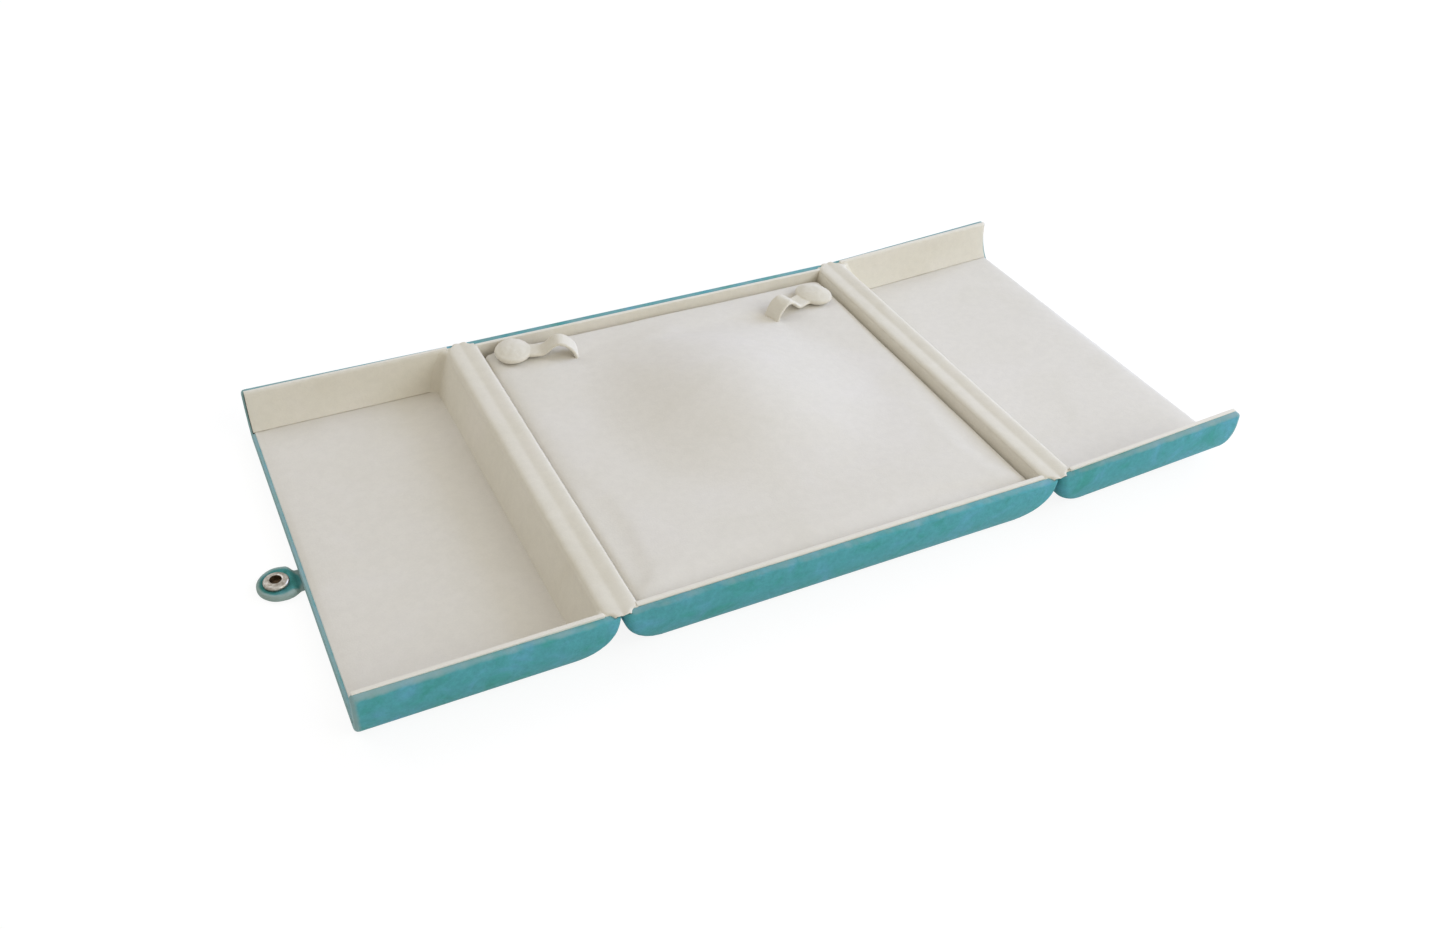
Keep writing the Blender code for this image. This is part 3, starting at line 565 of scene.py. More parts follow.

# %% [markdown]
# Lids are modelled level, with the hinge axis along y through the origin at the height of the rim,
# and the lid towards +x. These places put them into the box. Every piece then gets its cloth, with
# a note at each vertex of how far it is paled by wear and by painted highlight, and rides on its
# body instead of the plain node.

# %% Places, and helpers for finishing a piece
RIM_PLACE = Matrix.Translation((0, 0, -AXIS_LIFT))
LID_PLACES = {
    "left": Matrix.Translation(LEFT_AXIS) @ Matrix.Rotation(math.pi, 4, "Z") @ RIM_PLACE,
    "right": Matrix.Translation(RIGHT_AXIS) @ Matrix.Rotation(-RIGHT_TILT, 4, "Y") @ RIM_PLACE}


def clothe(piece, material, nearness):
    """Give a piece its material, and store how far each vertex is paled by wear and painted highlight,
    from 0 to 1.
    """
    values = [min(max(nearness(vertex.co), 0), 1) for vertex in piece.data.vertices]
    attribute = piece.data.attributes.new("wear_and_painted_highlight", "FLOAT", "POINT")
    attribute.data.foreach_set("value", values)
    piece.data.materials.append(material)


def dress(piece, body, node):
    """Let a finished piece ride on its body, in the place of the node that it stands for."""
    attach(piece, body)
    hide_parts(node)
    print(piece.name, "rides on", body, "with", len(piece.data.polygons), "faces")


print("lid places ready")

# %% [markdown]
# ## Velvet
# Velvet is a forest of short fibres. Seen from above it is saturated, seen along the surface it
# turns pale, and wherever a finger brushed the pile it reads lighter or darker. One group gives both
# velvets their brushed patches, their mottling and the fine grain of the fibres. Sheen, which is the
# pale rim of the pile, stays on the shader, the same all over. Along the edges more of that paleness
# is painted into the colour as a painted highlight, further below.

# %% The velvet group
def new_group(name, inputs, outputs):
    """An empty node group with named sockets, what it is given, and the node that it feeds."""
    group = bpy.data.node_groups.new(name, "ShaderNodeTree")
    for title, kind, value in inputs:
        socket = group.interface.new_socket(name=title, in_out="INPUT", socket_type="NodeSocket" + kind)
        socket.default_value = value
    for title, kind in outputs:
        group.interface.new_socket(name=title, in_out="OUTPUT", socket_type="NodeSocket" + kind)
    return group, group.nodes.new("NodeGroupInput").outputs, group.nodes.new("NodeGroupOutput")


tree, given, result = new_group(
    "velvet_pile",
    (("Vector", "Vector", (0, 0, 0)), ("Pile", "Color", (0.5, 0.5, 0.5, 1)),
     ("Brushed", "Color", (0.6, 0.6, 0.6, 1)), ("Shaded", "Color", (0.4, 0.4, 0.4, 1)),
     ("Patch Scale", "Float", 30.0), ("Patches", "Float", 0.5), ("Mottle Scale", "Float", 260.0),
     ("Grain", "Float", 1.0), ("Fibre Scale", "Float", 1500.0)),
    (("Color", "Color"), ("Roughness", "Float"), ("Height", "Float")))
patch = add_noise(tree, given["Vector"], given["Patch Scale"], 3.0, 0.6)
mottle = add_noise(tree, given["Vector"], given["Mottle Scale"], 3.0, 0.3)
fibre = add_noise(tree, given["Vector"], given["Fibre Scale"], 1.0)
brushed_share, shaded_share = (
    add_math(tree, "MULTIPLY", add_range(tree, patch, low, high), given["Patches"])
    for low, high in ((0.50, 0.74), (0.48, 0.26)))
color = add_mix(tree, brushed_share, given["Pile"], given["Brushed"])
color = add_mix(tree, shaded_share, color, given["Shaded"])
grain = add_math(
    tree, "ADD", add_math(tree, "MULTIPLY", mottle, 0.6), add_math(tree, "MULTIPLY", fibre, 0.4))
tone = add_math(tree, "ADD", 1.0, add_math(
    tree, "MULTIPLY", add_range(tree, grain, 0.30, 0.70, -0.06, 0.05), given["Grain"]))
tint = add_node(tree, "CombineColor", {"Red": tone, "Green": tone, "Blue": tone})
feed(tree, result, {
    "Color": add_mix(tree, 1.0, color, tint.outputs["Color"], "MULTIPLY"),
    "Roughness": add_range(tree, patch, 0.3, 0.7, 0.92, 0.80),
    "Height": grain})
velvet_group = tree
print("velvet group has", len(velvet_group.nodes), "nodes")

# %% [markdown]
# The nap is crushed where the box is handled, and the pile looks paler where light grazes it. Along
# the rim and at the outer edges the teal is painted greyer and paler, and the edge of its underside a
# little: this is partly wear and partly a painted highlight of the sheen. How near a point is to such
# an edge is worked out from the shape once, when a piece is made, and kept as an attribute that the
# material reads, so the wear and the painted highlight stay with the velvet when a lid is closed.

# %% The group for worn and highlit edges, and the velvet materials
tree, given, result = new_group(
    "worn_highlit_edge",
    (("Vector", "Vector", (0, 0, 0)), ("Mask", "Float", 0.0), ("Color", "Color", (0.5, 0.5, 0.5, 1)),
     ("Worn Highlit Color", "Color", (0.8, 0.8, 0.8, 1)), ("Amount", "Float", 0.8), ("Breakup", "Float", 140.0)),
    (("Color", "Color"), ("Wear Highlight Share", "Float")))
breakup = add_noise(tree, given["Vector"], given["Breakup"], 4.0, 0.4)
ragged = add_math(
    tree, "ADD", given["Mask"],
    add_math(tree, "MULTIPLY", add_math(tree, "SUBTRACT", breakup, 0.5), 0.9))
worn_highlit = add_math(tree, "MULTIPLY", add_range(tree, ragged, 0.25, 0.95), given["Amount"])
feed(tree, result, {
    "Wear Highlight Share": worn_highlit, "Color": add_mix(tree, worn_highlit, given["Color"], given["Worn Highlit Color"])})
worn_highlit_group = tree


def velvet_material(
        name, colors, sheen_tint, sheen, bump, patch_scale, patches, mottle_scale, grain, wear_highlight_amount):
    """The colours are those of the pile, its brushed and its shaded patches, and its edges, which are worn
    and painted paler as a highlight.
    """
    pile, brushed, shaded, worn_highlit = (color_of(*color) for color in colors)
    material, tree = new_material(name, {
        "Specular IOR Level": 0.15, "Sheen Weight": sheen, "Sheen Roughness": 0.35,
        "Sheen Tint": sheen_tint})
    place = add_node(tree, "TexCoord").outputs["Object"]
    mask = add_node(tree, "Attribute", attribute_name="wear_and_painted_highlight").outputs["Fac"]
    velvet = add_node(tree, "Group", node_tree=velvet_group, inputs={
        "Vector": place, "Pile": pile, "Brushed": brushed, "Shaded": shaded, "Patch Scale": patch_scale,
        "Patches": patches, "Mottle Scale": mottle_scale, "Grain": grain}).outputs
    edge = add_node(tree, "Group", node_tree=worn_highlit_group, inputs={
        "Vector": place, "Mask": mask, "Color": velvet["Color"], "Worn Highlit Color": worn_highlit, "Amount": wear_highlight_amount}).outputs
    raised = add_node(tree, "Bump", {"Strength": bump, "Distance": 0.25 * MM, "Height": velvet["Height"]})
    feed(tree, tree.nodes["Principled BSDF"], {
        "Base Color": edge["Color"], "Roughness": velvet["Roughness"], "Normal": raised.outputs["Normal"]})
    return material


TEAL_SHEEN = (0.72, 0.92, 0.94, 1)
# The fourth colour of each velvet is its paler edge: worn pile and painted highlight.
teal_velvet = velvet_material(
    "teal_velvet", ((83, 160, 168), (98, 166, 192), (64, 153, 141), (156, 177, 176)), TEAL_SHEEN,
    sheen=0.22, bump=0.6, patch_scale=95, patches=0.7, mottle_scale=420, grain=1.6, wear_highlight_amount=0.7)
tab_velvet = velvet_material(
    "tab_velvet", ((70, 140, 140), (96, 154, 158), (52, 126, 114), (160, 176, 172)), TEAL_SHEEN,
    sheen=0.22, bump=0.6, patch_scale=160, patches=0.8, mottle_scale=420, grain=1.8, wear_highlight_amount=0.85)
cream_velvet = velvet_material(
    "cream_velvet", ((226, 222, 214), (229, 225, 220), (222, 218, 208), (236, 233, 227)),
    (1, 0.98, 0.95, 1),
    sheen=0.18, bump=0.3, patch_scale=26, patches=0.5, mottle_scale=300, grain=0.4, wear_highlight_amount=0.5)
cream_wall = velvet_material(
    "cream_wall_cloth", ((224, 219, 206), (228, 222, 212), (219, 213, 198), (238, 235, 228)),
    (1, 0.98, 0.94, 1),
    sheen=0.15, bump=0.3, patch_scale=30, patches=0.5, mottle_scale=300, grain=0.45, wear_highlight_amount=0.6)
print("velvets", teal_velvet.name, tab_velvet.name, cream_velvet.name, cream_wall.name)

# %% [markdown]
# ## Metal, board and plastic
# The snap fasteners are pressed and plated, with fine turning marks and small stains. The inside of
# the socket's hole gets a dark metal, which is painted shade. Board and plastic hardly show, but they
# are seen when someone takes the box apart, so they get their own grain.

# %% Metal, board and plastic
def grained_material(name, light, dark, size, roughness, metallic=0.0, spread=(1, 1, 1), bump=0.2):
    material, tree = new_material(name, {"Metallic": metallic})
    place = add_node(tree, "TexCoord").outputs["Object"]
    mapping = add_node(tree, "Mapping", {"Vector": place, "Scale": spread})
    grain = add_noise(tree, mapping.outputs["Vector"], size, 4.0, 0.2)
    stains = add_noise(tree, place, size / 6, 3.0, 0.8)
    mixed = add_math(
        tree, "ADD", add_math(tree, "MULTIPLY", grain, 0.5), add_math(tree, "MULTIPLY", stains, 0.5))
    raised = add_node(tree, "Bump", {"Strength": bump, "Distance": 0.05 * MM, "Height": grain})
    feed(tree, tree.nodes["Principled BSDF"], {
        "Base Color": add_mix(tree, add_range(tree, mixed, 0.35, 0.68), color_of(*dark), color_of(*light)),
        "Roughness": add_range(tree, mixed, 0.35, 0.7, *roughness),
        "Normal": raised.outputs["Normal"]})
    return material


snap_metal = grained_material("snap_metal", (200, 195, 186), (142, 133, 121), 900, (0.42, 0.24), 1.0)
# Dark metal for the socket's hole, which is painted shade.
hole_shade_metal = grained_material("snap_hole_painted_shade", (96, 76, 54), (46, 34, 22), 900, (0.6, 0.45), 0.9)
grey_board = grained_material(
    "grey_board", (166, 160, 148), (132, 126, 114), 420, (0.95, 0.85), 0.0, (1, 1, 6), 0.5)
tray_plastic = grained_material("tray_plastic", (66, 92, 94), (52, 76, 78), 700, (0.6, 0.45))
print("plain materials", snap_metal.name, hole_shade_metal.name, grey_board.name, tray_plastic.name)

# %% [markdown]
# ## Velvet covers
# A cover is one skin of velvet that wraps a stiff tray: up the outside, over the rim and a little
# way in. It is lofted through sections of the wall's curve as a closed body. Then its sharp edges
# are rounded, the top is inset by the width of the turned velvet, and the middle is taken out. The
# base's back wall shows a wider band of it. A lid is open at its far end too, so there the inset
# runs down the end as well, and on the left lid the velvet turns in beside the floor. A hinge wall
# ends below the rim, which leaves room for the hinge cloth. Last, the skin gets its thickness.

# %% Cover helper
SKIN_STEPS = 14
EDGE_ROW = 2.1 * MM           # how far the paler rim band reaches down: crushed pile and painted highlight
END_PALE_REACH = 3.0 * MM           # and in from a lid's free end
FOOT_PALE_REACH = 7.0 * MM          # and in under the tray
LOW_EDGE_SHARE = 0.80         # from this share of the height down the lower edge is paler
RIM_WEAR_HIGHLIGHT = 0.85               # how pale the rim, the lower edge and a lid's free end are painted: wear and painted highlight
LOW_EDGE_WEAR_HIGHLIGHT = 0.35
LID_END_WEAR_HIGHLIGHT = 1.3
RIM_EVENLY_PALE = 0.2 * MM           # the rim is evenly pale down to here
END_TOP = 18.0 * MM           # where the velvet at a lid's free end turns in beside the floor
END_TURNED_IN = 1.5 * MM
END_ROUND = 0.35 * MM
PLAN_CORNER = 3.5 * MM
CORNER_GAIN_SHARE = 0.6
RIM_RAMP = ((0.0, 1.0), (3.5, 1.0), (4.4, 0.75), (5.4, 0.30), (6.6, 0.0))   # reach and drop in mm
RAMP_DEPTH = 1.5 * MM
RAMP_SQUEEZE_SHARE = 0.5
RAMP_CUT_REACH = 20 * MM      # cuts for the ramp stay this near to the hinge and to the rim
RAMP_CUT_DEPTH = 3 * MM


def cover_sections(tray):
    """Level sections of a cover, from the rim to the foot."""
    sections = []
    for depth in [0.0, EDGE_ROW, *curve_depths(SKIN_STEPS)]:
        hinge_inset = wall_inset(HINGE_WALL, depth)
        side_inset = wall_inset(SIDE_WALL, depth)
        corner = PLAN_CORNER + CORNER_GAIN_SHARE * min(hinge_inset, side_inset)
        if tray == "base":
            x_high = HALF_WIDTH - HINGE_GAP - hinge_inset
            ends = {"x_low": -x_high, "x_high": x_high, "far_corner": corner}
        else:
            ends = {"x_low": HINGE_GAP + hinge_inset, "x_high": LID_LENGTH}
        sections.append({"y_half": HALF_DEPTH - side_inset, "z": -depth, "near_corner": corner, **ends})
    return sections


def ramp_drop(reach):
    for (near, high), (far, low) in zip(RIM_RAMP, RIM_RAMP[1:]):
        if near * MM <= reach <= far * MM:
            return (high + (low - high) * (reach / MM - near) / (far - near)) * MM
    return 0


def lower_hinge_wall(cover, axis_x, inward):
    """Sink a cover's rim in a soft ramp at its hinge wall, under the cloth that lies on it."""
    for reach, _ in RIM_RAMP[1:]:
        pick(cover, "FACE", lambda middle, normal: abs(middle.x - axis_x) < RAMP_CUT_REACH
             and middle.z > -RAMP_CUT_DEPTH)
        bpy.ops.mesh.bisect(plane_co=(axis_x + inward * reach * MM, 0, 0), plane_no=(inward, 0, 0))
    reaches = sorted(
        (vertex.co.x - axis_x) * inward for vertex in bmesh.from_edit_mesh(cover.data).verts
        if vertex.co.z > -RAMP_DEPTH and (vertex.co.x - axis_x) * inward < RIM_RAMP[-1][0] * MM)
    columns = [[reaches[0], reaches[0]]]
    for reach in reaches[1:]:
        if reach - columns[-1][1] > 10 * NEAR:
            columns.append([reach, reach])
        columns[-1][1] = reach
    for near, far in columns:
        drop = ramp_drop(max(near, 0))
        pick(cover, "VERT", lambda place: place.z > -RAMP_DEPTH
             and near - NEAR < (place.x - axis_x) * inward < far + NEAR)
        scale((1, 1, 1 - RAMP_SQUEEZE_SHARE * drop / REBATE))
        shift((0, 0, -drop))


def make_cover(name, tray, end_turned_in=False):
    cover = loft(name, cover_sections(tray))
    open_edit(cover, "FACE")
    if tray == "lid":
        pick(cover, "FACE", lambda middle, normal: normal.x > 0.99 and middle.x > LID_LENGTH - NEAR)
        bpy.ops.mesh.dissolve_faces()
    pick(cover, "FACE", lambda middle, normal: normal.z < -0.99 and middle.z < -TRAY_HEIGHT + NEAR)
    bpy.ops.mesh.inset(thickness=FOOT_PALE_REACH, depth=0)
    bpy.ops.mesh.select_mode(type="EDGE")
    bpy.ops.mesh.select_all(action="DESELECT")
    bpy.ops.mesh.edges_select_sharp(sharpness=math.radians(60))
    bpy.ops.mesh.bevel(offset=RIM_ROUND, segments=4, affect="EDGES", profile=0.5)
    if tray == "lid":
        cut((LID_LENGTH - END_PALE_REACH, 0, 0), (1, 0, 0))

    def is_open_side(middle, normal):
        on_top = normal.z > 0.99 and middle.z > -NEAR
        at_end = normal.x > 0.99 and middle.x > LID_LENGTH - NEAR
        between = (middle.x > LID_LENGTH - RIM_ROUND and middle.z > -RIM_ROUND
                   and abs(middle.y) < HALF_DEPTH / 2)
        return on_top or tray == "lid" and (at_end or between)

    pick(cover, "FACE", is_open_side)
    bpy.ops.mesh.inset(thickness=RIM_WIDTH - RIM_ROUND, depth=0, use_boundary=True)
    bpy.ops.mesh.delete(type="FACE")
    if tray == "base":
        pick(cover, "VERT", lambda place: abs(place.y - HALF_DEPTH + RIM_WIDTH) < 10 * NEAR)
        shift((0, RIM_WIDTH - BACK_RIM_WIDTH, 0))
    if end_turned_in:
        low_edge = RIM_WIDTH - TRAY_HEIGHT
        pick(cover, "EDGE", lambda a, b: min(a.x, b.x) > LID_LENGTH - NEAR
             and max(abs(a.z - low_edge), abs(b.z - low_edge)) < 10 * NEAR)
        extrude("EDGE", (0, 0, -END_TOP - low_edge - END_ROUND))
        extrude("EDGE", (-END_ROUND, 0, END_ROUND))
        extrude("EDGE", (END_ROUND - END_TURNED_IN, 0, 0))
    lower_hinge_wall(cover, -HALF_WIDTH if tray == "base" else 0, 1)
    if tray == "base":
        lower_hinge_wall(cover, HALF_WIDTH, -1)
    weld(10 * NEAR)
    pick(cover, "VERT", lambda place: place.z < -TRAY_HEIGHT + 0.1 * MM)
    scale((1, 1, 0), (0, 0, -TRAY_HEIGHT))
    close_edit()
    apply_modifier(cover, "SOLIDIFY", thickness=VELVET, offset=-1, use_even_offset=False,
                   use_quality_normals=True)
    open_edit(cover)
    pick(cover, "VERT", lambda place: place.z < -TRAY_HEIGHT)
    scale((1, 1, 0), (0, 0, -TRAY_HEIGHT))
    if tray == "lid":
        pick(cover, "VERT", lambda place: place.x > LID_LENGTH)
        scale((0, 1, 1), (LID_LENGTH, 0, 0))
    close_edit()
    tidy(cover)
    return cover


def cover_wear_highlight(place, hinge_reach):
    """The pile is paler along the rim, and a little along the underside's edge: wear and painted
    highlight.
    """
    depth = -place.z
    at_rim = RIM_WEAR_HIGHLIGHT * (1 - max(depth - RIM_EVENLY_PALE, 0) / (EDGE_ROW - RIM_EVENLY_PALE))
    inside = min(HALF_DEPTH - abs(place.y) - SIDE_WALL[0], hinge_reach - HINGE_WALL[0])
    low_edge = (depth / TRAY_HEIGHT - LOW_EDGE_SHARE) / (1 - LOW_EDGE_SHARE) - max(inside, 0) / FOOT_PALE_REACH
    return max(at_rim, LOW_EDGE_WEAR_HIGHLIGHT * low_edge)


def lid_wear_highlight(place):
    # A lid's free end is painted paler still: wear, and a painted highlight that lightens its shaded end
    # face.
    at_end = LID_END_WEAR_HIGHLIGHT * (1 - (LID_LENGTH - place.x) / END_PALE_REACH)
    return max(cover_wear_highlight(place, place.x), at_end)


base_cover = make_cover("base_cover", "base")
clothe(base_cover, teal_velvet, lambda place: cover_wear_highlight(place, HALF_WIDTH - abs(place.x)))
place_piece(base_cover, Matrix.Translation((0, 0, TRAY_HEIGHT)))
dress(base_cover, "base", "base_velvet_cover")

# %% Lid covers
for side in ("right", "left"):
    cover = make_cover(f"{side}_lid_cover", "lid", end_turned_in=side == "left")
    clothe(cover, teal_velvet, lid_wear_highlight)
    place_piece(cover, LID_PLACES[side])
    dress(cover, f"{side}_lid", f"{side}_lid_velvet_cover")

# %% [markdown]
# ## Lining cards
# Inside each side wall stands a card wrapped in cream cloth. Its top edge shows above the rim as a
# soft, slightly uneven cord-like line. The lid's cards follow the wall's curve down to the floor.
# Each is drawn as a profile, swept along the wall, thickened, and its edges are rounded.

# %% Lining cards
CARD_PROUD = 0.35 * MM
CARD_LEAN = 0.3 * MM          # the top edge leans out over the turned velvet
CARD_FOOT = 18.3 * MM
CARD_START = 6.3 * MM         # from the hinge axis
END_SETBACK = 1.0 * MM        # from a lid's free end
LID_CARD_PALE_TOP = 1.6 * MM      # the cloth is paler down to here
CARD_CURVE_STEPS = 12
CARD_SLICES = 46
LID_ROLL_FACE = 7.7 * MM      # where the hinge roll's face begins below its crest, from the axis
LID_ROLL_FOOT = 13.9 * MM     # and where it meets the floor; the cards' ends follow that slope


def make_lid_card(name, side):
    depths = [2 * MM, *curve_depths(CARD_CURVE_STEPS, CARD_FOOT, SIDE_WALL)]
    card = draw_profile(name, [
        (CARD_START, side * (HALF_DEPTH - CARD_MIDDLE + CARD_LEAN), CARD_PROUD),
        *((CARD_START, side * (HALF_DEPTH - wall_inset(SIDE_WALL, depth, CARD_MIDDLE)), -depth)
          for depth in depths)])
    end = LID_LENGTH - END_SETBACK
    length = end - CARD_START
    sweep(card, "EDGE", 0, [CARD_START + length * step / CARD_SLICES for step in range(CARD_SLICES + 1)])
    open_edit(card)
    for depth in depths[1:]:
        cut_off = (LID_ROLL_FOOT - LID_ROLL_FACE) * depth / CARD_FOOT
        pick(card, "VERT", lambda place: abs(place.z + depth) < NEAR)
        scale((1 - cut_off / length, 1, 1), (end, 0, 0))
    close_edit()
    apply_modifier(card, "SOLIDIFY", thickness=CARD, offset=0, use_even_offset=True)
    round_edges(card, 0.7 * MM, 4, 50)
    tidy(card)
    return card


for side in (1, -1):
    card = make_lid_card("lid_lining_card", side)
    clothe(card, cream_wall, lambda place: 1 + place.z / LID_CARD_PALE_TOP)
    for lid, front in (("left", 1), ("right", -1)):
        word = "front" if side == front else "back"
        twin = copy_piece(card, f"{lid}_lid_{word}_lining")
        place_piece(twin, LID_PLACES[lid])
        wavy(twin, "lid_card")
        dress(twin, f"{lid}_lid", f"{lid}_lid_{word}_lining_card")
    bpy.data.objects.remove(card)

# %% [markdown]
# The base's cards stand upright. Between the turned velvet and the pad they fill the slot, so each
# is a padded strip: narrow at its foot, with a full round top.

# %% The base's lining cards
card_low, card_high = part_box("base_front_lining_card")
BASE_CARD_FOOT_OUTER = HALF_DEPTH + card_low.y
BASE_CARD_INNER = HALF_DEPTH + card_high.y
BASE_CARD_OUTER = {"front": RIM_WIDTH + 0.12 * MM, "back": BACK_RIM_WIDTH + 0.05 * MM}
BASE_CARD_HALF_LENGTH = HALF_WIDTH - 6.2 * MM
BASE_CARD_SHOULDER = 4 * MM   # down from the rim to where the padded top begins
BASE_CARD_SIDE = 0.9 * MM     # and to where its round begins
BASE_CARD_CREST = 0.1 * MM    # and to its crest
BASE_CARD_PALE_TOP = 1.4 * MM
BASE_CARD_ROUND_STEPS = 8
BASE_CARD_SLICES = 80


def make_base_card(name, side, outer):
    outline = [(BASE_CARD_FOOT_OUTER, height) for height in (card_low.z, TRAY_HEIGHT - BASE_CARD_SHOULDER)]
    for step in range(BASE_CARD_ROUND_STEPS + 1):
        swing = math.pi * step / BASE_CARD_ROUND_STEPS
        outline.append((
            outer + (BASE_CARD_INNER - outer) / 2 * (1 - math.cos(swing)),
            TRAY_HEIGHT - BASE_CARD_SIDE + (BASE_CARD_SIDE - BASE_CARD_CREST) * math.sin(swing)))
    outline.append((BASE_CARD_INNER, card_low.z))
    card = draw_profile(name, [
        (-BASE_CARD_HALF_LENGTH, side * (HALF_DEPTH - inset), height) for inset, height in outline],
        closed=True)
    sweep(card, "FACE", 0, mirrored_stops([-BASE_CARD_HALF_LENGTH], BASE_CARD_SLICES))
    tidy(card, 50)
    wavy(card, "base_card")
    clothe(card, cream_wall, lambda place: 1 - (TRAY_HEIGHT - place.z) / BASE_CARD_PALE_TOP)
    return card


for word, side in (("front", -1), ("back", 1)):
    card = make_base_card(f"base_{word}_lining", side, BASE_CARD_OUTER[word])
    dress(card, "base", f"base_{word}_lining_card")

# %% [markdown]
# ## Hinge rolls
# Along each hinge wall lies a padded roll. In a lid it slopes down to the floor and flares at its
# ends, where the cloth is drawn round the corner in a soft fillet. It is drawn as a cross-section,
# extruded along the hinge in slices, and the face side of the end slices is pushed out.

# %% Hinge rolls
ROLL_NEAR = HINGE_GAP + LINING_OFFSET
ROLL_END = LINING_OFFSET + 0.15 * MM
ROLL_HALF_LENGTH = HALF_DEPTH - ROLL_END
ROLL_CREST_DROP = 0.55 * MM   # the crest lies this far below the rim, under the hinge cloth
ROLL_TOP = 2.0 * MM
ROLL_BELLY = 0.45 * MM
LID_ROLL_FLARE = 3.2 * MM
BASE_ROLL_FACE = 7.2 * MM
BASE_ROLL_FOOT_DEPTH = 11.6 * MM
ROLL_CREST_HIGHLIGHT = 0.5
ROLL_HIGHLIGHT_REACH = 3 * MM            # the crest is painted paler down to here, as a painted highlight
ROLL_TOP_STEPS = 10
ROLL_ROWS = 9
ROLL_FLARE_STEPS = 6
ROLL_SLICES = 40


def roll_outline(face, foot, foot_depth):
    """Points round a roll's cross-section: reach from the hinge axis, depth below the rim."""
    middle = (ROLL_NEAR + face) / 2
    half = (face - ROLL_NEAR) / 2
    top = ROLL_CREST_DROP + ROLL_TOP
    points = []
    for step in range(ROLL_TOP_STEPS + 1):
        swing = math.pi * step / ROLL_TOP_STEPS
        points.append((middle - half * math.cos(swing), top - ROLL_TOP * math.sin(swing)))
    front = []
    back = []
    for row in range(1, ROLL_ROWS + 1):
        share = row / ROLL_ROWS
        depth = top + (foot_depth - top) * share
        belly = ROLL_BELLY * math.sin(math.pi * share)
        front.append((face + (foot - face) * share + belly, depth))
        back.append((HINGE_GAP + wall_inset(HINGE_WALL, depth, LINING_OFFSET), depth))
    return points + front + back[::-1]


def make_roll(name, face, foot, foot_depth, flare):
    outline = roll_outline(face, foot, foot_depth)
    roll = draw_profile(
        name, [(reach, -ROLL_HALF_LENGTH, -depth) for reach, depth in outline], closed=True)
    ends = [-ROLL_HALF_LENGTH]
    if flare:
        card_face = HALF_DEPTH - ROLL_END + LINING_OFFSET - CARD_MIDDLE - CARD / 2
        ends.extend(-card_face + flare * step / ROLL_FLARE_STEPS for step in range(ROLL_FLARE_STEPS + 1))
    stops = mirrored_stops(ends, ROLL_SLICES)
    sweep(roll, "FACE", 1, stops)

    def side_line(depth):
        """The line between a roll's face side, which flares, and its wall side."""
        share = min(max((depth - ROLL_TOP) / (foot_depth - ROLL_TOP), 0), 1)
        near = HINGE_GAP + wall_inset(HINGE_WALL, max(depth, 0), LINING_OFFSET)
        return (near + face + (foot - face) * share) / 2

    open_edit(roll)
    for stop in sorted(set(round(abs(value), 7) for value in stops)):
        into = stop + ends[-1]
        if flare and into > NEAR:
            swing = min(into / flare, 1)
            pick(roll, "VERT", lambda place: abs(abs(place.y) - stop) < NEAR
                 and place.x > side_line(-place.z))
            shift((flare * (1 - math.sqrt(1 - swing * swing)), 0, 0))
    for depth in sorted(set(round(depth, 7) for _, depth in outline)):
        half_length = HALF_DEPTH - wall_inset(SIDE_WALL, depth, ROLL_END)
        pick(roll, "VERT", lambda place: abs(place.z + depth) < NEAR)
        scale((1, half_length / ROLL_HALF_LENGTH, 1))
    close_edit()
    tidy(roll, 50)
    # The crest of a roll is painted paler: a painted highlight where it faces the light.
    clothe(roll, cream_wall, lambda place: ROLL_CREST_HIGHLIGHT * (1 + place.z / ROLL_HIGHLIGHT_REACH))
    return roll


lid_roll = make_roll("right_lid_roll", LID_ROLL_FACE, LID_ROLL_FOOT, CARD_FOOT, LID_ROLL_FLARE)
lid_rolls = {"right": lid_roll, "left": copy_piece(lid_roll, "left_lid_roll")}
base_roll = make_roll("base_left_roll", BASE_ROLL_FACE, BASE_ROLL_FACE, BASE_ROLL_FOOT_DEPTH, 0)
base_rolls = {"left": base_roll, "right": copy_piece(base_roll, "base_right_roll")}
BASE_ROLL_PLACES = {
    "left": Matrix.Translation((-HALF_WIDTH, 0, TRAY_HEIGHT)),
    "right": Matrix.Translation((HALF_WIDTH, 0, TRAY_HEIGHT)) @ Matrix.Rotation(math.pi, 4, "Z")}
for rolls, places, body, node in (
        (lid_rolls, LID_PLACES, "{}_lid", "{}_lid_hinge_roll"),
        (base_rolls, BASE_ROLL_PLACES, "base", "base_{}_hinge_roll")):
    for side, roll in rolls.items():
        place_piece(roll, places[side])
        wavy(roll, "roll")
        dress(roll, body.format(side), node.format(side))

# %% [markdown]
# ## Hinge cloths
# One strip of cream cloth runs over both walls of a hinge and is the hinge: nothing else joins a
# lid to the base. Over the rolls it lies almost flush with the rim, and it dips where it folds. Its
# ends are cut narrower, so that little of them stands out at the corners of the closed box.

# %% Hinge cloths
CLOTH = 0.5 * MM
CLOTH_TAPER = (               # distance in from the box's outer face in mm, share of the full width
    (1.1, 0.44), (1.5, 0.49), (2.0, 0.52), (2.6, 0.58), (3.1, 0.68), (3.6, 0.84), (4.2, 1.0))
CLOTH_HALF_LENGTH = HALF_DEPTH - CLOTH_TAPER[0][0] * MM
CLOTH_SLICES = 60
CLOTH_SHAPE = (               # reach from the axis and drop below the rim, in mm
    (0.0, 0.42), (0.5, 0.40), (1.1, 0.34), (1.8, 0.26), (2.6, 0.19), (3.4, 0.14),
    (4.2, 0.12), (5.1, 0.16), (6.0, 0.34), (6.9, 0.85))


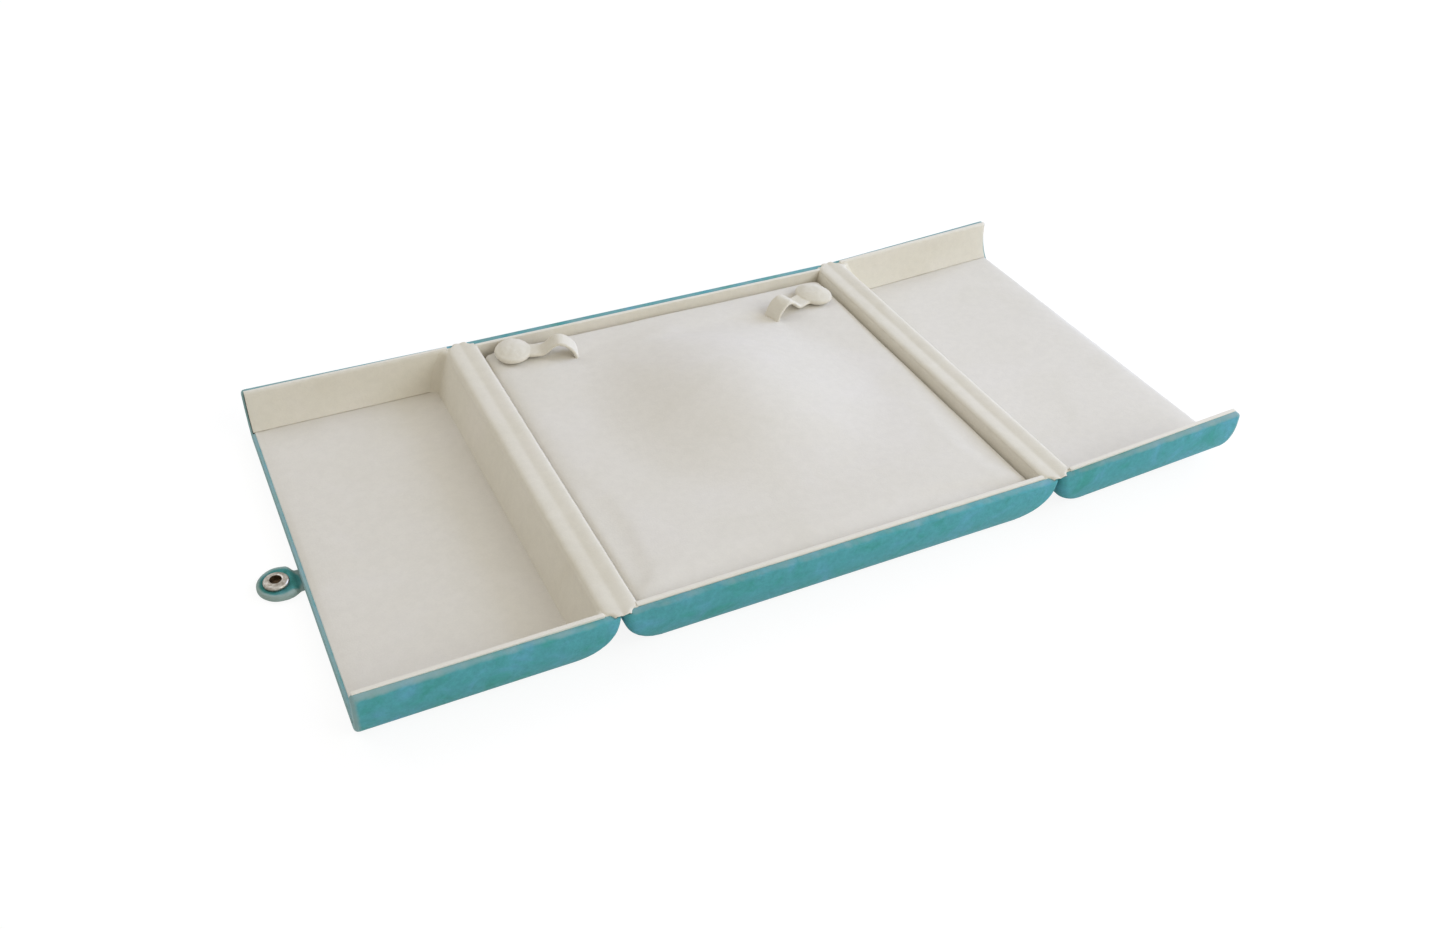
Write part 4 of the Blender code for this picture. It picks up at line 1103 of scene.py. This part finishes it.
def make_hinge_cloth(name, axis, tilt):
    outward = 1 if axis.x > 0 else -1
    rows = {}
    for side, turn in ((-1, 0), (1, tilt)):
        rows[side] = []
        for reach, drop in CLOTH_SHAPE:
            along = side * reach * MM
            height = -drop * MM - AXIS_LIFT
            rows[side].append(Vector((
                axis.x + outward * (along * math.cos(turn) - height * math.sin(turn)),
                -CLOTH_HALF_LENGTH,
                axis.z + along * math.sin(turn) + height * math.cos(turn))))
    cloth = draw_profile(name, rows[-1][:0:-1] + rows[1])
    ends = [inset * MM - HALF_DEPTH for inset, _ in CLOTH_TAPER]
    sweep(cloth, "EDGE", 1, mirrored_stops(ends, CLOTH_SLICES))
    open_edit(cloth)
    for inset, share in CLOTH_TAPER[:-1]:
        pick(cloth, "VERT", lambda place: abs(abs(place.y) - HALF_DEPTH + inset * MM) < NEAR)
        scale((share, 1, 1), (axis.x, 0, axis.z))
    pick_all()
    bpy.ops.mesh.normals_make_consistent(inside=False)
    close_edit()
    up = sum(face.normal.z for face in cloth.data.polygons)
    apply_modifier(cloth, "SOLIDIFY", thickness=CLOTH, offset=-1 if up > 0 else 1, use_even_offset=True)
    round_edges(cloth, 0.2 * MM, 2)
    tidy(cloth, 50)
    wavy(cloth, "hinge_cloth")
    clothe(cloth, cream_wall, lambda place: 0.3)
    return cloth


for side, axis, tilt in (("left", LEFT_AXIS, 0), ("right", RIGHT_AXIS, RIGHT_TILT)):
    cloth = make_hinge_cloth(f"{side}_hinge_strip", axis, tilt)
    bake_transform(cloth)
    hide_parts(f"{side}_hinge_cloth")

# %% [markdown]
# ## Floor pads of the lids
# The floor of a lid is a thin board wrapped in padding and velvet: almost flat, a touch fuller in
# the middle, with a tight round along its edge where it meets the walls in a crease.

# %% Floor pads
FLOOR_TOP = 18.0 * MM
FLOOR_FOOT = TRAY_HEIGHT - LINING_OFFSET
FLOOR_HALF_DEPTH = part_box("left_lid_floor_pad")[1].y + 0.6 * MM   # the cloth is tucked under the cards
FLOOR_NEAR = 12.9 * MM
FLOOR_FAR = {"left": LID_LENGTH - END_TURNED_IN + 0.05 * MM, "right": LID_LENGTH - 0.9 * MM}
FLOOR_CORNER = 3 * MM
FLOOR_ROUND = 0.5 * MM
FLOOR_CUTS = 24
FLOOR_CROWN = 0.25 * MM
FLOOR_CROWN_TOP = 4 * MM      # what is lifted in the middle, and how far that draws the rest along
FLOOR_CROWN_REACH = 70 * MM
FLOOR_SWELL = 0.3 * MM
FLOOR_PALE_EDGE = 1.5 * MM         # the cloth is paler along its free edge, this far in


def make_floor_pad(name, far):
    pad = add_box(name, (FLOOR_NEAR, -FLOOR_HALF_DEPTH, -FLOOR_FOOT), (far, FLOOR_HALF_DEPTH, -FLOOR_TOP))
    middle = (FLOOR_NEAR + far) / 2
    open_edit(pad, "EDGE")
    pick(pad, "EDGE", lambda a, b: abs(a.z - b.z) > MM / 2 and a.x < middle)
    bpy.ops.mesh.bevel(offset=FLOOR_CORNER, segments=5, affect="EDGES")
    pick(pad, "EDGE", lambda a, b: min(a.z, b.z) > -FLOOR_TOP - NEAR)
    bpy.ops.mesh.bevel(offset=FLOOR_ROUND, segments=4, affect="EDGES")
    for step in range(1, FLOOR_CUTS):
        cut((FLOOR_NEAR + (far - FLOOR_NEAR) * step / FLOOR_CUTS, 0, 0), (1, 0, 0))
    for step in range(1 - FLOOR_CUTS, FLOOR_CUTS):
        cut((0, FLOOR_HALF_DEPTH * step / FLOOR_CUTS, 0), (0, 1, 0))
    pick(pad, "VERT", lambda place: place.z < -FLOOR_TOP - NEAR)
    bpy.ops.mesh.hide()
    pick(pad, "VERT", lambda place: math.hypot(place.x - middle, place.y) < FLOOR_CROWN_TOP)
    shift((0, 0, FLOOR_CROWN), FLOOR_CROWN_REACH)
    bpy.ops.mesh.reveal()
    close_edit()
    swell(pad, lambda place: place.z < -FLOOR_TOP - 0.5 * FLOOR_ROUND, FLOOR_SWELL)
    tidy(pad, 60)
    return pad


for side, far in FLOOR_FAR.items():
    pad = make_floor_pad(f"{side}_lid_floor", far)
    clothe(pad, cream_velvet, lambda place: 1 - (far - place.x) / FLOOR_PALE_EDGE)
    place_piece(pad, LID_PLACES[side])
    wavy(pad, "lid_floor")
    dress(pad, f"{side}_lid", f"{side}_lid_floor_pad")

# %% [markdown]
# ## Display pad
# The pad that carries the chain is foam under velvet. Its top edge is a full round, its cloth swells
# between the slits of the straps, and in the middle it rises to a smooth mound that the chain lies
# round. The mound is lifted with a soft proportional move while the pad is squeezed, which makes it
# an oval.

# %% Display pad
pad_low, pad_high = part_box("display_pad")
PAD_TOP = TRAY_HEIGHT - 3.8 * MM
PAD_CORNER = 4.5 * MM
PAD_TOP_ROUND = 2.4 * MM
PAD_VOXEL = 2.6 * MM
PAD_SWELL = 0.6 * MM
PAD_HELD = 2 * MM             # the lowest part of the pad is glued to its board
PAD_LOOSE_TOP = 2 * MM        # only this much of the pad, from its top down, rises to the mound
SLIT_REACH = 5.5 * MM
MOUND = Vector((3 * MM, 16 * MM, 0))
MOUND_HALF_WIDTH = HALF_WIDTH - 31 * MM
MOUND_HALF_DEPTH = HALF_DEPTH - 19 * MM

pad = add_box(
    "velvet_display_pad", (-pad_high.x, -pad_high.y, pad_low.z), (pad_high.x, pad_high.y, PAD_TOP))
open_edit(pad, "EDGE")
pick(pad, "EDGE", lambda a, b: abs(a.z - b.z) > MM)
bpy.ops.mesh.bevel(offset=PAD_CORNER, segments=6, affect="EDGES")
pick(pad, "EDGE", lambda a, b: min(a.z, b.z) > PAD_TOP - NEAR)
bpy.ops.mesh.bevel(offset=PAD_TOP_ROUND, segments=5, affect="EDGES")
close_edit()
remesh(pad, PAD_VOXEL, 2)
squeeze = MOUND_HALF_DEPTH / MOUND_HALF_WIDTH
open_edit(pad)
pick_all()
scale((squeeze, 1, 1), MOUND)
pick(pad, "VERT", lambda place: place.z < PAD_TOP - PAD_LOOSE_TOP)
bpy.ops.mesh.hide()
pick(pad, "VERT", lambda place: math.hypot(place.x - MOUND.x, place.y - MOUND.y) < PAD_VOXEL)
shift((0, 0, pad_high.z - PAD_TOP), MOUND_HALF_DEPTH)
bpy.ops.mesh.reveal()
pick_all()
scale((1 / squeeze, 1, 1), MOUND)
close_edit()
strap_roots = [Vector(joints[f"{side}_strap_fold"]["pos_m"]) for side in ("left", "right")]


def is_held_pad(place):
    """The cloth is glued to the board below, and drawn in at the slits of the straps."""
    at_slit = any(math.hypot(place.x - root.x, place.y - root.y) < SLIT_REACH for root in strap_roots)
    return place.z < pad_low.z + PAD_HELD or at_slit


swell(pad, is_held_pad, PAD_SWELL)
apply_modifier(pad, "SUBSURF", levels=1, render_levels=1)
wavy(pad, "pad")
clothe(pad, cream_velvet, lambda place: 0)
tidy(pad, 80)
dress(pad, "base", "display_pad")
print("pad top in mm", round(max(vertex.co.z for vertex in pad.data.vertices) / MM, 2))

# %% [markdown]
# ## Holding straps
# Two short straps keep the chain in place. Each comes out of a slit in the pad, arches over the
# chain and ends in an oval, padded tongue that snaps onto a stud. Band and tongue are one piece of
# cream velvet over a thin filling. It is modelled in its own frame, with the slit at the origin.

# %% Holding straps
STRAP_REACH = 28 * MM
STRAP_WIDTH = 9 * MM
STRAP_ARCH_SPAN = 15.5 * MM
STRAP_ARCH_HEIGHT = 5.8 * MM
STRAP_ARCH_STEPS = 22
STRAP_FLAT = 1.5 * MM
STRAP_THICKNESS = 1.7 * MM
STRAP_SLICES = 8
STRAP_VOXEL = 0.28 * MM
STRAP_ROOT = (-0.35 * MM, -1.6 * MM)          # its end below the slit: reach and height
STRAP_JOIN = ((0, 0.1 * MM), (2.5 * MM, 0.3 * MM))      # how it runs into the tongue
TONGUE_HALF_LENGTH = 8 * MM
TONGUE_HALF_WIDTH = 9.5 * MM
TONGUE_LOW = 0.45 * MM
TONGUE_HEIGHT = 4.0 * MM
TONGUE_PROFILE_SHARES = (
    (0.0, 0.0), (0.80, 0.0), (0.93, 0.06), (0.995, 0.22), (1.0, 0.36), (0.975, 0.52), (0.925, 0.62),
    (0.86, 0.66), (0.80, 0.70), (0.70, 0.80), (0.55, 0.90), (0.35, 0.975), (0.15, 1.0), (0.0, 1.0))


def make_tongue(name):
    """The padded end: a turned profile with a thick edge, widened to an oval."""
    tongue = spin_profile(
        name, [(width * TONGUE_HALF_LENGTH, TONGUE_LOW + height * TONGUE_HEIGHT)
               for width, height in TONGUE_PROFILE_SHARES], 48)
    open_edit(tongue)
    pick_all()
    scale((1, TONGUE_HALF_WIDTH / TONGUE_HALF_LENGTH, 1))
    shift((STRAP_REACH, 0, 0))
    close_edit()
    return tongue


def make_band(name):
    line = [STRAP_ROOT]
    for step in range(STRAP_ARCH_STEPS + 1):
        share = step / STRAP_ARCH_STEPS
        arch = math.sin(math.pi * share ** 0.85) ** (0.8 + 0.9 * share)
        line.append((STRAP_ARCH_SPAN * share, STRAP_FLAT * share + STRAP_ARCH_HEIGHT * arch))
    line.extend((STRAP_REACH - TONGUE_HALF_LENGTH + reach, STRAP_FLAT + height)
                for reach, height in STRAP_JOIN)
    band = draw_profile(name, [Vector((reach, -STRAP_WIDTH / 2, height)) for reach, height in line])
    sweep(band, "EDGE", 1, mirrored_stops([-STRAP_WIDTH / 2], STRAP_SLICES))
    apply_modifier(band, "SOLIDIFY", thickness=STRAP_THICKNESS, offset=0, use_even_offset=True)
    round_edges(band, 0.8 * MM, 4)
    return band


tongue = make_tongue("strap_master")
band = make_band("strap_master_band")
select_only(band, tongue)
bpy.ops.object.join()
strap_master = bpy.context.object
remesh(strap_master, STRAP_VOXEL, 3)
for side in ("left", "right"):
    joint = joints[f"{side}_strap_fold"]
    pivot = Vector(joint["pos_m"])
    ahead = Vector(joint["axis"]).normalized().cross(Vector((0, 0, 1)))
    if (ahead.x > 0) != (side == "right"):
        ahead = -ahead
    turn = math.atan2(ahead.y, ahead.x)
    strap = copy_piece(strap_master, f"{side}_holding_strap")
    place_piece(strap, Matrix.Translation(pivot) @ Matrix.Rotation(turn, 4, "Z"))
    wavy(strap, "strap")
    clothe(strap, cream_wall, lambda place: 0)
    tidy(strap, 80)
    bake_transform(strap)
    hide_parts(f"{side}_strap")
    print(strap.name, "turned", round(math.degrees(turn), 1), "degrees")
bpy.data.objects.remove(strap_master)

# %% [markdown]
# ## Snap tab
# The tab that closes the box is a round velvet pad on a short neck, which comes out from under the
# left lid's free edge. Its outline is a circle that runs into the neck; the edge is a full round,
# the middle sinks where the socket is pressed in, and the root is pressed flat.

# %% Snap tab
TAB_PIVOT = Vector(joints["snap_tab_fold"]["pos_m"])
TAB_PLACE = Matrix.Translation(TAB_PIVOT) @ Matrix.Rotation(math.pi, 4, "Z")
TAB_HEAD_RADIUS = 8.75 * MM
TAB_HEAD_REACH = 7.1 * MM
TAB_HEAD_STEPS = 40
TAB_SNAP_REACH = 8.5 * MM
TAB_NECK_HALF = 6.2 * MM
TAB_NECK = (-1.8 * MM, 0.2 * MM)      # the neck's two ends
TAB_LOW = -0.5 * MM
TAB_HIGH = 2.55 * MM
TAB_ROUND = 1.15 * MM
TAB_VOXEL = 0.3 * MM
TAB_DENT = (5.2 * MM, 0.7 * MM, 2.6 * MM)     # radius, depth and falloff
TAB_DENT_LOW = 1.6 * MM       # the dent leaves the underside as it is
TAB_ROOT = (1.0 * MM, 0.16, 3.2 * MM)         # reach, what is left of its height, falloff


def make_tab():
    half_swing = math.pi - math.asin(TAB_NECK_HALF / TAB_HEAD_RADIUS)
    outline = [(reach, -TAB_NECK_HALF) for reach in TAB_NECK]
    for step in range(TAB_HEAD_STEPS + 1):
        swing = -half_swing + 2 * half_swing * step / TAB_HEAD_STEPS
        outline.append((
            TAB_HEAD_REACH + TAB_HEAD_RADIUS * math.cos(swing), TAB_HEAD_RADIUS * math.sin(swing)))
    outline.extend((reach, TAB_NECK_HALF) for reach in TAB_NECK[::-1])
    tab = draw_profile("velvet_tab", [(x, y, TAB_LOW) for x, y in outline], closed=True)
    open_edit(tab, "FACE")
    pick_all()
    extrude("FACE", (0, 0, TAB_HIGH - TAB_LOW))
    close_edit()
    tidy(tab)
    round_edges(tab, TAB_ROUND, 5)
    remesh(tab, TAB_VOXEL, 3)
    middle = Vector((TAB_SNAP_REACH, 0, TAB_HIGH))
    open_edit(tab)
    pick(tab, "VERT", lambda place: place.z < TAB_DENT_LOW)
    bpy.ops.mesh.hide()
    pick(tab, "VERT", lambda place: (place - middle).length < TAB_DENT[0])
    shift((0, 0, -TAB_DENT[1]), TAB_DENT[2])
    bpy.ops.mesh.reveal()
    pick(tab, "VERT", lambda place: place.x < TAB_ROOT[0])
    scale((1, 1, TAB_ROOT[1]), reach=TAB_ROOT[2])
    close_edit()
    return tab


def tab_wear_highlight(place):
    """Its round edge is paler, outside a plain middle: wear and a painted rim highlight of the pile."""
    share = math.hypot(place.x - tab_middle.x, place.y - tab_middle.y) / TAB_HEAD_RADIUS
    return (share - 0.68) / 0.26


tab_middle = TAB_PLACE @ Vector((TAB_HEAD_REACH, 0, 0))
tab = make_tab()
place_piece(tab, TAB_PLACE)
wavy(tab, "tab")
clothe(tab, tab_velvet, tab_wear_highlight)
tidy(tab, 80)
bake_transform(tab)
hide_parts("snap_tab")
print(tab.name, "has", len(tab.data.polygons), "faces")

# %% [markdown]
# The socket is a turned cap with a rolled rim, a flat bright ring and a hole, whose faces are given a
# dark metal as painted shade. It is one profile, spun round its axis.

# %% Snap socket
SOCKET_MIDDLE = TAB_PLACE @ Vector((TAB_SNAP_REACH, 0, 0))
SOCKET_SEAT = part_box("snap_socket")[1].z - 2.2 * MM
SOCKET_HOLE = 2.35 * MM
SOCKET_PROFILE = (            # radius and height above the seat, in millimetres
    (0.0, 0.42), (2.0, 0.42), (2.1, 0.60), (2.1, 1.55), (2.3, 1.95), (2.7, 2.12), (3.1, 2.10),
    (3.45, 1.92), (3.8, 1.72), (4.2, 1.62), (4.5, 1.42), (4.8, 0.95), (4.9, 0.55), (4.85, 0.15),
    (4.55, 0.0), (0.0, 0.0))
socket = spin_profile("tab_socket", [(reach * MM, height * MM) for reach, height in SOCKET_PROFILE], 64)
place_piece(socket, Matrix.Translation((SOCKET_MIDDLE.x, SOCKET_MIDDLE.y, SOCKET_SEAT)))
tidy(socket, 30)
socket.data.materials.append(snap_metal)
socket.data.materials.append(hole_shade_metal)
# Faces inside the hole get the dark metal: painted shade.
for face in socket.data.polygons:
    away = math.hypot(face.center.x - SOCKET_MIDDLE.x, face.center.y - SOCKET_MIDDLE.y)
    inside = away < SOCKET_HOLE and face.center.z > SOCKET_SEAT + 0.2 * MM
    face.material_index = 1 if inside else 0
dress(socket, "snap_tab", "snap_socket")

# %% [markdown]
# ## What stays as the frame has it
# Shells, boards, studs and plates have their true shape already. They only get their finish.

# %% Materials for the pieces that stay
KEPT = (
    (tray_plastic, ("base_shell", "left_lid_shell", "right_lid_shell")),
    (grey_board, ("pad_board", "pad_riser_left", "pad_riser_middle", "pad_riser_right")),
    (snap_metal, ("left_strap_stud", "right_strap_stud", "left_strap_socket", "right_strap_socket",
                  "snap_stud", "snap_stud_backplate")),
    (teal_velvet, ("snap_cap",)))
for material, names in KEPT:
    for name in names:
        slot = frame["nodes"][name].material_slots[0]
        slot.link = "OBJECT"
        slot.material = material
    print(material.name, "on", len(names), "pieces that stay")
